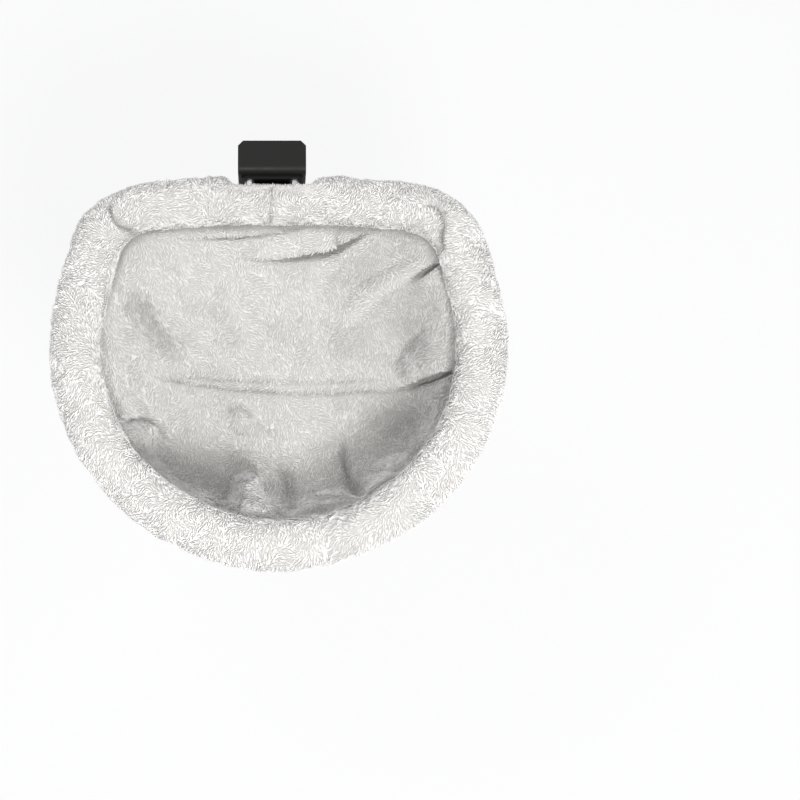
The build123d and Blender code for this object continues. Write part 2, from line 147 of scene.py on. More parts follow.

# Cross seam, puckers and pouch of the floor, with painted shade in its seams, hollows and valleys
FLOOR_FOLDS = {
    "floor swell": ("mound", (292, 425), dict(across=0.042, down=0.050, height=0.014)),
    "left hollow": ("mound", (196, 468), dict(across=0.044, down=0.030, height=-0.014, flat=0.44)),
    "right hollow": ("mound", (400, 414), dict(across=0.034, down=0.026, height=-0.009, flat=0.22)),
    "seam upper": (
        "band", [(150, 373), (177, 377), (225, 380), (270, 381), (345, 381), (395, 379)],
        dict(width=0.0020, height=-0.0016),
    ),
    "seam lower": (
        "band",
        [(150, 376), (195, 385), (235, 390), (275, 391), (330, 393), (382, 392), (427, 385), (456, 378)],
        dict(width=0.0022, height=-0.0030, taper=0.08),
    ),
    "floor bump": ("mound", (242, 418), dict(across=0.009, down=0.015, height=0.010)),
    "floor bump arch": (
        "band", [(227, 414), (235, 406), (246, 408), (253, 419)],
        dict(width=0.0026, height=-0.0028),
    ),
    "floor crease": ("band", [(254, 422), (265, 430), (277, 441)], dict(width=0.0030, height=-0.002)),
    "cone": (
        "shelf", [(246, 470), (250, 490), (255, 515), (262, 560)],
        dict(width=0.015, height=0.052, start=0.12),
    ),
    "cone arch": (
        "band", [(226, 470), (236, 460), (246, 457), (260, 467), (271, 482), (281, 506)],
        dict(width=0.005, height=0.006),
    ),
    "cone left valley": (
        "band", [(232, 474), (226, 492), (217, 522)],
        dict(width=0.0065, height=-0.008, taper=0.25, flat=0.35),
    ),
    "cone right valley": (
        "band", [(272, 464), (285, 484), (294, 524)],
        dict(width=0.0070, height=-0.008, taper=0.3, flat=0.35),
    ),
    "front ridge": (
        "shelf", [(300, 499), (320, 494), (340, 489), (352, 486)],
        dict(width=0.007, height=0.014, start=0.4),
    ),
    "pouch": (
        "shelf", [(366, 440), (370, 462), (376, 482), (388, 520), (398, 560)],
        dict(width=0.021, height=0.050, start=0.50),
    ),
    "pouch edge": (
        "band", [(346, 434), (343, 452), (347, 472), (355, 490)],
        dict(width=0.0040, height=-0.0040, taper=0.35),
    ),
    "pouch pocket": ("mound", (355, 487), dict(across=0.008, down=0.007, height=-0.016, flat=0.8)),
}

# Rows of the photograph between which the lining comes out from behind the rim and the painted shade along
# the rim's edge weakens, and that shade's width
BEHIND_RIM_PX = (225, 330)
PAINTED_RIM_SHADOW_WIDTH = 0.0035

# Waves of slow noise: each one's size in metres, its seed and its height
SLEEVE_LUMPS = ((0.055, 3, 0.7), (0.022, 8, 0.45))
SLEEVE_WHORLS = ((0.030, 21, 2.6), (0.009, 22, 1.3))
LINING_LUMPS = ((0.045, 5, 0.0022), (0.016, 6, 0.0008))
LINING_WHORLS = ((0.028, 31, 2.2), (0.010, 32, 1.1))

TOWARD_FRONT = np.array([0, -1.0, 0])

# Steps of the cloth simulation
CLOTH_STEPS = 20

MOST_TUFTS = 1500000.0

# Sockets whose names their node uses more than once, for colours and for plain numbers
MIX_FACTOR, MIX_FIRST, MIX_SECOND, MIX_RESULT = 0, 6, 7, 2
RANDOM_LOW, RANDOM_HIGH, RANDOM_RESULT = 2, 3, 1


def linear(hex_colour):
    """An sRGB hex colour as linear values."""
    channels = [int(hex_colour[at:at + 2], 16) / 255 for at in (1, 3, 5)]
    return tuple(c / 12.92 if c <= 0.04045 else ((c + 0.055) / 1.055) ** 2.4 for c in channels)


def smoothstep(values, start, end):
    """Rises smoothly from 0 at start to 1 at end."""
    share = np.clip((values - start) / (end - start), 0, 1)
    return share * share * (3 - 2 * share)


def number_property(name, description, default, **kind):
    """A number in the sidebar."""
    return bpy.props.FloatProperty(name=name, description=description, default=default, **kind)


def length_property(name, description, default):
    """A length in the sidebar, in metres."""
    return number_property(name, description, default, unit="LENGTH", precision=5)


def colour_property(name, description, hex_colour):
    """A colour in the sidebar."""
    return bpy.props.FloatVectorProperty(
        name=name, description=description, default=linear(hex_colour), subtype="COLOR", min=0, max=1
    )


class HammockRimSettings(bpy.types.PropertyGroup):
    """Sizes of the padded rim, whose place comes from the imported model."""

    corner_radius: length_property("Corner radius", "Radius of the hoop's two back corners", 0.0665)
    side_run: length_property("Side run", "Straight length of each side", 0.045)
    side_slant: number_property("Side slant", "How far the sides splay", math.radians(13.8), subtype="ANGLE")
    cloth_drop: length_property("Cloth drop", "Depth of the cloth below the tips of its pile", 0.0026)
    notch_half_width: length_property("Notch", "Half width of the notch round the clamp", 0.036)
    notch_shoulder: length_property("Notch shoulder", "Half width at which the notch has run out", 0.054)
    notch_gap: length_property("Notch gap", "Clearance from the clamp's carrier plate", 0.0065)
    notch_blend: length_property("Notch blend", "Distance over which the sleeve gives way to it", 0.0035)
    lean: length_property("Lean", "How far the padded rim sags to the right of its clamp", 0.0063)
    corner_sag: length_property("Corner sag", "How far the padding sags beside the back corners", 0.0072)
    corner_sag_place: length_property("Corner sag place", "Distance of that sag from the clamp", 0.128)
    corner_sag_width: length_property("Corner sag width", "Half the width of that sag", 0.046)
    lean_start: length_property("Lean start", "Distance from the clamp where the lean starts", 0.045)
    lean_end: length_property("Lean end", "Distance from the clamp where it is full", 0.150)
    lump_height: length_property("Lumps", "Height of the stuffing's slow lumps", 0.0016)
    crease_sink: length_property("Crease depth", "Deepest that a crease of the sleeve goes", 0.006)
    cloth_voxel: length_property("Cloth grid", "Spacing of the simulated cloth's points", 0.005)
    cloth_reach: length_property("Cloth reach", "Furthest that the simulated cloth may move", 0.003)
    cloth_ease: number_property("Cloth ease", "Share of spare cloth", 0.035)
    cloth_pressure: number_property("Stuffing pressure", "Pressure of the stuffing on the cloth", 4)
    foam_gap: length_property("Foam gap", "Depth of the foam inside its packed solid", 0.0035)
    foam_notch: length_property("Foam notch", "How much deeper the foam is drawn in at the clamp", 0.001)
    pile_spacing: length_property("Pile spacing", "Least distance between two tufts", 0.00128)
    pile_length: length_property("Pile length", "Length of a tuft of the rim's plush", 0.0050)
    pile_width: length_property("Pile width", "Width of that tuft", 0.0016)
    pile_ruffle: number_property("Ruffle", "How far tufts turn out of the flow", 0.35, subtype="ANGLE")


class HammockBagSettings(bpy.types.PropertyGroup):
    """Sizes of the bag's cloth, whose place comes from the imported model."""

    tuck: length_property("Tuck", "Distance of the shell from the hoop's line, seen from above", 0.0179)
    shell_cloth: length_property("Shell cloth", "Thickness of the outer cloth", 0.0015)
    wadding_loft: length_property("Wadding loft", "Thickness of the wadding", 0.008)
    lining_cloth: length_property("Lining cloth", "Thickness of the lining", 0.003)
    layer_gap: length_property("Layer gap", "Clearance between two layers", 0.0003)
    lining_slack: length_property("Lining slack", "How far the lining stands off the wadding", 0.002)
    fold_sink: length_property("Fold depth", "Deepest that a fold presses into the wadding", 0.008)
    lining_rise: length_property("Lining rise", "Height that the lining climbs behind the rim", 0.003)
    held_strip: length_property("Held strip", "Height of lining that its top seam holds still", 0.012)
    lining_curl: length_property("Lining curl", "Distance that its edge curls outward", 0.0092)
    shell_curl: length_property("Shell curl", "Distance that the shell and wadding curl outward", 0.005)
    wrinkle: length_property("Wrinkles", "Height of the shell's slow wrinkles", 0.0022)
    stitch_pitch: length_property("Stitch pitch", "Distance from one stitch to the next", 0.0034)
    stitch_length: length_property("Stitch length", "Length of one stitch", 0.0025)
    stitch_row: length_property("Stitch row", "Distance of each row of stitches from its seam", 0.0024)
    pile_spacing: length_property("Pile spacing", "Least distance between two tufts", 0.00128)
    pile_length: length_property("Pile length", "Length of a tuft of the lining's fleece", 0.0043)
    pile_width: length_property("Pile width", "Width of that tuft", 0.0014)
    pile_ruffle: number_property("Ruffle", "How far tufts turn out of the flow", 0.45, subtype="ANGLE")


class HammockStageSettings(bpy.types.PropertyGroup):
    """Camera, light and floor."""

    camera_distance: length_property("Camera distance", "From the middle of the rim", 1.5)
    camera_elevation: number_property(
        "Camera elevation", "Angle above the rim's plane", math.radians(78), subtype="ANGLE"
    )
    focal_length_px: number_property("Focal length", "In pixels of the photograph", 1565, subtype="PIXEL")
    floor_drop: length_property("Floor drop", "Height of the clamp's jaw above the floor", 0.5)
    background: colour_property("Background", "Colour of the floor and of the room behind", "#F8F8F8")


class HammockColourSettings(bpy.types.PropertyGroup):
    """Colours of the cloth and of the hard pieces."""

    # The root colours are painted shade: they darken the foot of each lock and the backing between the
    # tufts, where shade falls
    plush_tip: colour_property("Plush tips", "Off-white ends of the pile", "#FBFAF8")
    plush_painted_root_shade: colour_property("Plush roots", "Shaded foot of the pile", "#CFCCC8")
    fleece_tip: colour_property("Fleece tips", "Ends of the lining's pile", "#F9F8F6")
    fleece_painted_root_shade: colour_property("Fleece roots", "Foot of the lining's pile", "#C6C3BF")
    shell: colour_property("Shell cloth", "Plain woven off-white cloth", "#E4E1DB")
    wadding: colour_property("Wadding", "Polyester wadding", "#EFEFEC")
    foam: colour_property("Foam", "Open cell foam", "#E6E0D0")
    thread: colour_property("Thread", "Sewing thread", "#DDD9D1")
    powder_coat: colour_property("Powder coat", "Satin black clamp", "#0C0C0B")
    zinc: colour_property("Zinc plate", "Bright plated steel", "#C7C9CB")
    rubber: colour_property("Rubber", "Matt moulded pads", "#232322")
    nylon: colour_property("Knob", "Moulded nylon knob", "#1F1F20")
    enamel: colour_property("Hoop enamel", "Black enamel on the hoop", "#1C1C1C")


def nodes_box(names):
    """The lowest and highest corners of several nodes together."""
    corners = np.array([[list(corner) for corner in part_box(name)] for name in names])
    return corners[:, 0].min(axis=0), corners[:, 1].max(axis=0)


class RimPlan:
    """The hoop's line seen from above, measured from the back middle round to the right."""

    def __init__(self, rim):
        low, high = nodes_box(SLEEVE_NODES)
        self.radius = (high[2] - low[2]) / 2
        self.height = (high[2] + low[2]) / 2
        self.half_width = high[0] - self.radius
        self.back = high[1] - self.radius
        self.front = low[1] + self.radius
        self.corner_radius = rim.corner_radius
        self.side_run = rim.side_run
        self.slant = rim.side_slant
        reach = self.half_width - self.corner_radius
        self.corner_x = reach * math.cos(self.slant) - self.side_run * math.sin(self.slant)
        self.corner_y = self.back - self.corner_radius
        self.front_arc_y = self.front + self.half_width
        self.corner_length = self.corner_radius * (math.pi / 2 - self.slant)
        self.front_length = self.half_width * (math.pi / 2 + self.slant)
        self.half_length = self.corner_x + self.corner_length + self.side_run + self.front_length
        self.middle = Vector((0, (low[1] + high[1]) / 2, self.height))

    def place(self, along):
        """Plan places and outward directions at distances along the closed line."""
        along = np.mod(along, 2 * self.half_length)
        on_right = along <= self.half_length
        run = np.where(on_right, along, 2 * self.half_length - along)
        past_back = np.clip(run - self.corner_x, 0, None)
        past_corner = np.clip(past_back - self.corner_length, 0, None)
        past_side = np.clip(past_corner - self.side_run, 0, None)
        turned = np.clip(past_back, 0, self.corner_length) / self.corner_radius
        angle = math.pi / 2 - turned - past_side / self.half_width
        out = np.stack([np.cos(angle), np.sin(angle)], axis=-1)
        back = np.stack([run, np.full_like(run, self.back)], axis=-1)
        corner = np.array([self.corner_x, self.corner_y]) + out * self.corner_radius
        down_side = np.array([math.sin(self.slant), -math.cos(self.slant)])
        side = corner + down_side * np.clip(past_corner, 0, self.side_run)[..., None]
        front = np.array([0, self.front_arc_y]) + out * self.half_width
        on_back = (past_back <= 0)[..., None]
        on_front = (past_side > 0)[..., None]
        place = np.where(on_back, back, np.where(on_front, front, side))
        mirror = np.stack([np.where(on_right, 1, -1), np.ones_like(run)], axis=-1)
        return place * mirror, out * mirror

    def tube(self, stations, columns, radius):
        """Points and normals of a round tube on the hoop's line."""
        along = np.arange(stations) / stations * 2 * self.half_length
        roll = -np.arange(columns) / columns * math.tau
        place, out = self.place(along)
        ring = np.stack([np.cos(roll), np.sin(roll)], axis=-1)
        centre = np.concatenate([place, np.full((stations, 1), self.height)], axis=1)
        outward = np.concatenate([out, np.zeros((stations, 1))], axis=1)
        normals = outward[:, None, :] * ring[None, :, :1] + np.array([0, 0, 1.0]) * ring[None, :, 1:]
        points = centre[:, None, :] + normals * radius
        return points.reshape(-1, 3), normals.reshape(-1, 3)

    def leaned(self, points, rim):
        """Points of the soft pieces, moved with the rim as it sags to the right of its clamp."""
        away = np.hypot(points[..., 0], points[..., 1] - self.back)
        points = points.copy()
        beside = (np.abs(points[..., 0]) - rim.corner_sag_place) / rim.corner_sag_width
        at_back = smoothstep(points[..., 1], self.back - 2.4 * self.radius, self.back)
        points[..., 1] -= rim.corner_sag * np.exp(-beside ** 2) * at_back
        points[..., 0] += rim.lean * smoothstep(away, rim.lean_start, rim.lean_end)
        return points


class BagForm:
    """The bag's skin at any depth inside its outer cloth."""

    # Shares of the height, and at each the half width and the back and front edge
    levels = (0.0, 0.30, 0.60, 0.86, 1.0)
    width_shares = (1.0, 0.97, 0.89, 0.73, 0.50)
    back_shares = (1.0, 0.850, 0.700, 0.560, 0.450)
    front_shares = (0.0, 0.010, 0.050, 0.130, 0.230)

    def __init__(self, plan, bag):
        low, high = nodes_box(SHELL_NODES)
        self.plan = plan
        self.tuck = bag.tuck
        self.top = high[2]
        self.depth = high[2] - low[2]

    def share(self, values, level):
        """A smooth run through the shares of the five levels."""
        return np.polyval(np.polyfit(self.levels, values, len(self.levels) - 1), level)

    def ring(self, along, level, inside, shrink=1.0):
        """Points of the skin at one level; a shrink below 1 draws it in towards the floor's middle."""
        place, out = self.plan.place(along)
        tucked = self.tuck + inside
        outline = place - out * tucked
        top_front = self.plan.front + self.tuck
        top_length = self.plan.back - self.tuck - top_front
        half_width = (self.plan.half_width - self.tuck) * self.share(self.width_shares, level) - inside
        back = top_front + top_length * self.share(self.back_shares, level) - inside
        front = top_front + top_length * self.share(self.front_shares, level) + inside
        x = outline[:, 0] * half_width / (self.plan.half_width - tucked)
        y = front + (outline[:, 1] - self.plan.front - tucked) * (back - front) / (top_length - 2 * inside)
        middle = (back + front) / 2
        z = np.full_like(x, self.top - self.depth * level + inside)
        return np.stack([x * shrink, middle + (y - middle) * shrink, z], axis=-1)

    def near_rim(self, heights, inside):
        """Rises to 1 where the bag runs up to the rim."""
        return smoothstep(heights, self.top - self.depth / 2, self.top + inside)

    def skin(self, inside, columns, wall_rows, floor_rows, curl, rise=0.0):
        """A grid of points from the top edge down the wall and over the floor to its middle."""
        along = np.arange(columns) / columns * 2 * self.plan.half_length
        rows = []
        if rise:
            for share in (1.0, 0.5):
                top = self.ring(along, 0.0, inside)
                top[:, 2] += rise * share
                rows.append(top)
        first = 0 if rise else inside / self.depth
        for level in first + (1 - first) * np.linspace(0, 1, wall_rows) ** 0.92:
            rows.append(self.ring(along, level, inside))
        for shrink in np.linspace(1, 0, floor_rows + 1)[1:]:
            rows.append(self.ring(along, 1.0, inside, shrink))
        grid = np.array(rows)
        first_soft = wall_rows // 3
        for _ in range(wall_rows // 3):
            inner = (grid[:-2] + grid[2:]) / 2
            grid[first_soft + 1:-1] = (grid[first_soft + 1:-1] + inner[first_soft:]) / 2
        grid[..., :2] += self.plan.place(along)[1] * curl * self.near_rim(grid[..., 2], inside)[..., None]
        return grid


def grid_normals(grid):
    """Normals of a grid that closes round its columns."""
    round_step = np.roll(grid, -1, axis=1) - np.roll(grid, 1, axis=1)
    down_step = np.gradient(grid, axis=0)
    normals = np.cross(round_step, down_step)
    return normals / np.maximum(np.linalg.norm(normals, axis=2, keepdims=True), 1e-9)


def grid_mesh(name, grid, pole=False, closed_rows=False):
    """A mesh of a grid whose columns close round, with its last row drawn to a point for a pole."""
    rows, columns = grid.shape[:2]
    last = rows - 1 if pole else rows
    points = grid[:last].reshape(-1, 3)
    if pole:
        points = np.vstack([points, grid[-1].mean(axis=0)])
    faces = []
    for row in range(rows if closed_rows else last - 1):
        below = (row + 1) % rows
        for column in range(columns):
            beside = (column + 1) % columns
            faces.append((
                row * columns + column, below * columns + column,
                below * columns + beside, row * columns + beside,
            ))
    if pole:
        middle = len(points) - 1
        base = (last - 1) * columns
        faces += [(base + column, middle, base + (column + 1) % columns) for column in range(columns)]
    mesh = bpy.data.meshes.new(name)
    mesh.from_pydata(points.tolist(), [], faces)
    mesh.shade_smooth()
    mesh.update()
    return mesh


def add_object(name, mesh):
    """An object of a mesh, linked to the scene, with its place in its mesh."""
    piece = bpy.data.objects.new(name, mesh)
    bpy.context.scene.collection.objects.link(piece)
    return piece


def read_points(mesh):
    """The places of a mesh's points."""
    points = np.zeros(len(mesh.vertices) * 3)
    mesh.vertices.foreach_get("co", points)
    return points.reshape(-1, 3)


def store_vectors(mesh, name, values):
    """Keeps one vector for each vertex as a named attribute."""
    attribute = mesh.attributes.new(name, "FLOAT_VECTOR", "POINT")
    attribute.data.foreach_set("vector", np.asarray(values, np.float32).ravel())


def store_numbers(mesh, name, values):
    """Keeps one number for each vertex as a named attribute."""
    attribute = mesh.attributes.new(name, "FLOAT", "POINT")
    attribute.data.foreach_set("value", np.asarray(values, np.float32))


def comb(mesh, flow, loft, pressed):
    """Keeps the direction and height of the pile on a mesh, and where it is pressed flat and darkened with
    painted shade.
    """
    store_vectors(mesh, "flow", flow)
    store_numbers(mesh, "loft", loft)
    store_numbers(mesh, "pressed", pressed)


def slow_noise(points, size, seed):
    """Smooth noise from about -1 to 1, with waves of the given size."""
    shift = Vector((seed * 7.3, seed * 3.1, seed * 5.7))
    return np.array([noise.noise(Vector(point) / size + shift) for point in points.tolist()])


def slow_noises(points, waves):
    """The sum of several waves of slow noise."""
    return sum(slow_noise(points, size, seed) * height for size, seed, height in waves)


def camera_axes(stage):
    """Viewing direction and the picture's upward direction."""
    tilt = stage.camera_elevation
    return np.array([0, math.cos(tilt), -math.sin(tilt)]), np.array([0, math.sin(tilt), math.cos(tilt)])


def photo_pixels(points, plan, stage):
    """Where points fall in the photograph."""
    view, upward = camera_axes(stage)
    eye = np.array(plan.middle) - view * stage.camera_distance
    offset = points - eye
    depth = offset @ view
    across = RIM_MIDDLE_PX[0] + stage.focal_length_px * offset[..., 0] / depth
    down = RIM_MIDDLE_PX[1] - stage.focal_length_px * (offset @ upward) / depth
    return np.stack([across, down], axis=-1)


def rounded_path(path, steps=6):
    """A smooth run through given points."""
    path = np.array(path, float)
    padded = np.vstack([2 * path[0] - path[1], path, 2 * path[-1] - path[-2]])
    result = []
    for before, start, end, after in zip(padded, padded[1:], padded[2:], padded[3:]):
        for t in np.arange(steps) / steps:
            result.append(0.5 * (
                2 * start + (end - before) * t + (2 * before - 5 * start + 4 * end - after) * t ** 2
                + (3 * start - before - 3 * end + after) * t ** 3
            ))
    return np.array(result + [path[-1]])


def beside_path(pixels, path):
    """Distance of each point from a path, positive below it, and its share of the way along."""
    path = rounded_path(path)
    steps = np.diff(path, axis=0)
    lengths = np.linalg.norm(steps, axis=1)
    before = np.concatenate([[0], np.cumsum(lengths)])
    nearest = np.full(len(pixels), np.inf)
    side = np.ones(len(pixels))
    share = np.zeros(len(pixels))
    for start, step, length, run in zip(path, steps, lengths, before):
        offset = pixels - start
        along = np.clip(offset @ step / length ** 2, 0, 1)
        distance = np.linalg.norm(offset - along[:, None] * step, axis=1)
        closer = distance < nearest
        nearest[closer] = distance[closer]
        side[closer] = np.where(step[0] * offset[:, 1] - step[1] * offset[:, 0] >= 0, 1, -1)[closer]
        share[closer] = ((run + along * length) / before[-1])[closer]
    return nearest * side, share


class Sculptor:
    """Raises and sinks the points of a skin where the photograph shows folds."""

    # Widest crease that presses the pile flat and is darkened with painted shade
    narrow = 0.006

    def __init__(self, points, normals, plan, stage, sink):
        self.sink = sink
        self.stage = stage
        self.points = points
        self.normals = normals
        self.pixels = photo_pixels(points, plan, stage)
        self.scale = stage.camera_distance / stage.focal_length_px
        self.raised = np.zeros(len(points))
        self.pressed = np.zeros(len(points))
        self.shifted = np.zeros(len(points))
        self.lifted = np.zeros(len(points))
        self.headroom = np.inf
        self.view = camera_axes(stage)[0]
        self.facing = smoothstep(-(normals @ self.view), 0.05, 0.3)

    def band(self, path, width, height, taper=0.15, flat=0.0):
        """A ridge along a path, or a groove where the height is below zero; flat, and the depth of a narrow
        groove, say how far its pile is pressed flat and darkened with painted shade.
        """
        distance, share = beside_path(self.pixels, path)
        ends = smoothstep(np.minimum(share, 1 - share), -0.001, taper)
        near = ends * np.exp(-(distance * self.scale / width) ** 2)
        self.raised += height * near
        if height < 0 and width < self.narrow:
            flat = max(flat, min(1, -height / self.narrow))
        self.press(near * flat)

    def press(self, amount):
        """Notes where a crease, a seam, a hollow, a fold's lip or the rim's edge presses the pile flat and
        darkens it with painted shade.
        """
        self.pressed = np.maximum(self.pressed, amount)

    def shelf(self, path, width, height, start):
        """A stuffed fold that stands out at the start of a path and runs on to its end under the rim."""
        distance, share = beside_path(self.pixels, path)
        rise = smoothstep(share, -0.001, start) * (1 - smoothstep(share, 0.8, 1))
        self.lifted += height * rise * np.exp(-(distance * self.scale / (width * (0.6 + share))) ** 4)

    def hold_top(self, edge, fade):
        """Lets nothing move the skin at its top edge, where it is sewn to the rim, or lift past it."""
        below = np.clip(edge - self.points[:, 2], 0, None)
        self.facing = self.facing * smoothstep(below, 0, fade)
        self.headroom = 0.85 * below

    def lobe(self, path, reach, height, overhang, left_taper=0.2, right_taper=0.2, lip=0.0018, crevice=0.0):
        """A fold that lies over a path from above it, with a rounded overhanging edge over a crevice."""
        distance, share = beside_path(self.pixels, path)
        above = -distance * self.scale
        ends = smoothstep(share, -0.001, left_taper) * smoothstep(1 - share, -0.001, right_taper)
        # The fold's edge starts above the path by as much as it comes down over it
        fallen = ends * self.facing * (overhang + 0.3 * height)
        edge = smoothstep(above - fallen, -lip, lip)
        self.raised += height * ends * edge * (1 - smoothstep(above, reach * 0.25, reach))
        under = ends * smoothstep(above, -1.6 * lip, 0) * (1 - edge)
        self.raised -= crevice * under
        # Painted shade in the crevice under the fold's lip
        self.press(under * self.facing * min(1, crevice / 0.010))
        self.shifted += overhang * ends * edge * (1 - smoothstep(above, fallen + lip, reach * 0.8))

    def mound(self, middle, across, down, height, flat=0.0):
        """A round swelling, or a hollow where the height is below zero, whose pile flat says how far to
        press flat and darken with painted shade.
        """
        offset = (self.pixels - np.array(middle)) * self.scale
        near = np.exp(-(offset[:, 0] / across) ** 2 - (offset[:, 1] / down) ** 2)
        self.raised += height * near
        self.press(near * flat)

    def make(self, folds):
        """Makes each fold of a table."""
        for kind, place, sizes in folds.values():
            getattr(self, kind)(place, **sizes)

    def result(self):
        """The sculpted points."""
        lean = TOWARD_FRONT - self.normals * (self.normals @ TOWARD_FRONT)[:, None]
        raised = np.where(self.raised < 0, -self.sink * np.tanh(-self.raised / self.sink), self.raised)
        moves = self.normals * raised[:, None] + lean * self.shifted[:, None]
        lifted = np.minimum(self.lifted, self.headroom)
        return self.points + moves * self.facing[:, None] - self.view * lifted[:, None]


def add_node(tree, kind, settings=None, inputs=None):
    """Adds a node, with its settings, and sets or links its inputs."""
    node = tree.nodes.new(kind)
    for name, value in (settings or {}).items():
        setattr(node, name, value)
    for name, value in (inputs or {}).items():
        if isinstance(value, bpy.types.NodeSocket):
            tree.links.new(value, node.inputs[name])
        else:
            node.inputs[name].default_value = value
    return node


def new_material(name, roughness, metallic=0.0, ior=1.5, sheen=0.0):
    """A material and its tree, with a Principled shader and no colour yet."""
    material = bpy.data.materials.new(name)
    material.use_nodes = True
    shader = material.node_tree.nodes["Principled BSDF"]
    values = {"Roughness": roughness, "Metallic": metallic, "IOR": ior, "Sheen Weight": sheen}
    for socket, value in values.items():
        shader.inputs[socket].default_value = value
    return material, material.node_tree, shader


def rgba(colour, factor=1.0):
    """A colour with full opacity, made darker by a factor below 1."""
    return (colour[0] * factor, colour[1] * factor, colour[2] * factor, 1.0)


def surface_noise(tree, size, detail=2.0, roughness=0.5, span=None):
    """Noise on Object coordinates with blotches of a real size in metres, drawn out over a span."""
    place = add_node(tree, "ShaderNodeTexCoord").outputs["Object"]
    inputs = {"Vector": place, "Scale": 1 / size, "Detail": detail, "Roughness": roughness}
    pattern = add_node(tree, "ShaderNodeTexNoise", inputs=inputs).outputs["Fac"]
    if span is None:
        return pattern
    # Most of the noise lies between 0.3 and 0.7
    inputs = {"Value": pattern, "From Min": 0.3, "From Max": 0.7, "To Min": span[0], "To Max": span[1]}
    return add_node(tree, "ShaderNodeMapRange", inputs=inputs).outputs["Result"]


def stored_shade(tree, name, at_zero, at_one):
    """A shade that follows a number from 0 to 1 which the mesh keeps for each point."""
    stored = add_node(tree, "ShaderNodeAttribute", {"attribute_name": name}).outputs["Fac"]
    inputs = {"Value": stored, "To Min": at_zero, "To Max": at_one}
    return add_node(tree, "ShaderNodeMapRange", inputs=inputs).outputs["Result"]


def painted_crease_shade(tree):
    """Painted shade: darkens cloth and pile where the pressed number is high, in creases, hollows, under
    fold lips and along the rim's edge.
    """
    return stored_shade(tree, "pressed", 1.0, 0.42)


def finish_shader(tree, shader, colour, shades, relief=None, depth=0.0):
    """Gives a shader its colour times each shade, and a relief with a real depth in metres."""
    for shade in shades:
        settings = {"data_type": "RGBA", "blend_type": "MULTIPLY"}
        inputs = {MIX_FACTOR: 1.0, MIX_FIRST: colour, MIX_SECOND: shade}
        colour = add_node(tree, "ShaderNodeMix", settings, inputs).outputs[MIX_RESULT]
    tree.links.new(colour, shader.inputs["Base Color"])
    if relief is not None:
        inputs = {"Height": relief, "Distance": depth, "Strength": 1.0}
        bump = add_node(tree, "ShaderNodeBump", inputs=inputs)
        tree.links.new(bump.outputs["Normal"], shader.inputs["Normal"])


def pile_material(name, tip, painted_root_shade):
    """Polyester pile, brushed: painted shade at its foot, bright at its ends, each lock a little different.
    """
    material, tree, shader = new_material(name, roughness=0.85, sheen=0.2)
    reach = add_node(tree, "ShaderNodeAttribute", {"attribute_name": "reach"}).outputs["Fac"]
    # Each lock runs from painted shade at its foot to the colour of its tip
    inputs = {MIX_FACTOR: reach, MIX_FIRST: rgba(painted_root_shade), MIX_SECOND: rgba(tip)}
    lock = add_node(tree, "ShaderNodeMix", {"data_type": "RGBA"}, inputs).outputs[MIX_RESULT]
    tone = stored_shade(tree, "tone", 0.78, 1.06)
    patch = surface_noise(tree, 0.035, span=(0.955, 1.01))
    # The pressed number adds painted shade in creases, hollows and along the rim
    finish_shader(tree, shader, lock, (tone, patch, painted_crease_shade(tree)))
    return material


def pile_cloth_material(name, colour):
    """Knitted backing under the pile, seen only between the tufts, in a colour darkened with painted shade.
    """
    material, tree, shader = new_material(name, roughness=0.95, sheen=0.15)
    blotch = surface_noise(tree, 0.004, detail=3.0, span=(0.88, 1.04))
    knit = surface_noise(tree, 0.0016, detail=3.0)
    finish_shader(tree, shader, rgba(colour), (blotch, painted_crease_shade(tree)), knit, 0.0008)
    return material


def woven_material(name, colour):
    """Plain weave polyester: threads over and under, drawn at 1.2 mm because 0.4 mm would not show."""
    material, tree, shader = new_material(name, roughness=0.88, sheen=0.1)
    thread_spacing = 0.0012
    place = add_node(tree, "ShaderNodeUVMap", {"uv_map": "cloth"}).outputs["UV"]
    heights = {}
    for number, direction in enumerate(("X", "Y")):
        settings = {"wave_type": "BANDS", "bands_direction": direction, "wave_profile": "SIN"}
        scale = math.pi / (10 * thread_spacing)
        inputs = {"Vector": place, "Scale": scale, "Distortion": 0.6, "Detail": 1.0, "Detail Scale": 2.0}
        heights[number] = add_node(tree, "ShaderNodeTexWave", settings, inputs).outputs["Fac"]
    weave = add_node(tree, "ShaderNodeMath", {"operation": "MAXIMUM"}, heights).outputs[0]
    thread = add_node(tree, "ShaderNodeMapRange", inputs={"Value": weave, "To Min": 0.86, "To Max": 1.0})
    patch = surface_noise(tree, 0.05, span=(0.96, 1.02))
    finish_shader(tree, shader, rgba(colour), (thread.outputs["Result"], patch), weave, 0.0002)
    return material


def fibre_material(name, colour, size):
    """Loose fibres or foam cells, with a soft uneven face of the given grain."""
    material, tree, shader = new_material(name, roughness=0.95)
    grain = surface_noise(tree, size, detail=4.0, roughness=0.7)
    shade = surface_noise(tree, size, detail=4.0, roughness=0.7, span=(0.82, 1.05))
    finish_shader(tree, shader, rgba(colour), (shade,), grain, size / 3)
    return material


def powder_coat_material(colour):
    """Satin powder coat: a faint orange peel, with its gloss a little broken up by handling."""
    material, tree, shader = new_material("satin_black_powder_coat", roughness=0.5, ior=1.3)
    gloss = surface_noise(tree, 0.018, detail=3.0, span=(0.44, 0.58))
    tree.links.new(gloss, shader.inputs["Roughness"])
    dusty = surface_noise(tree, 0.018, detail=3.0, span=(0.9, 1.25))
    peel = surface_noise(tree, 0.0011, detail=1.0)
    finish_shader(tree, shader, rgba(colour), (dusty,), peel, 0.00008)
    return material


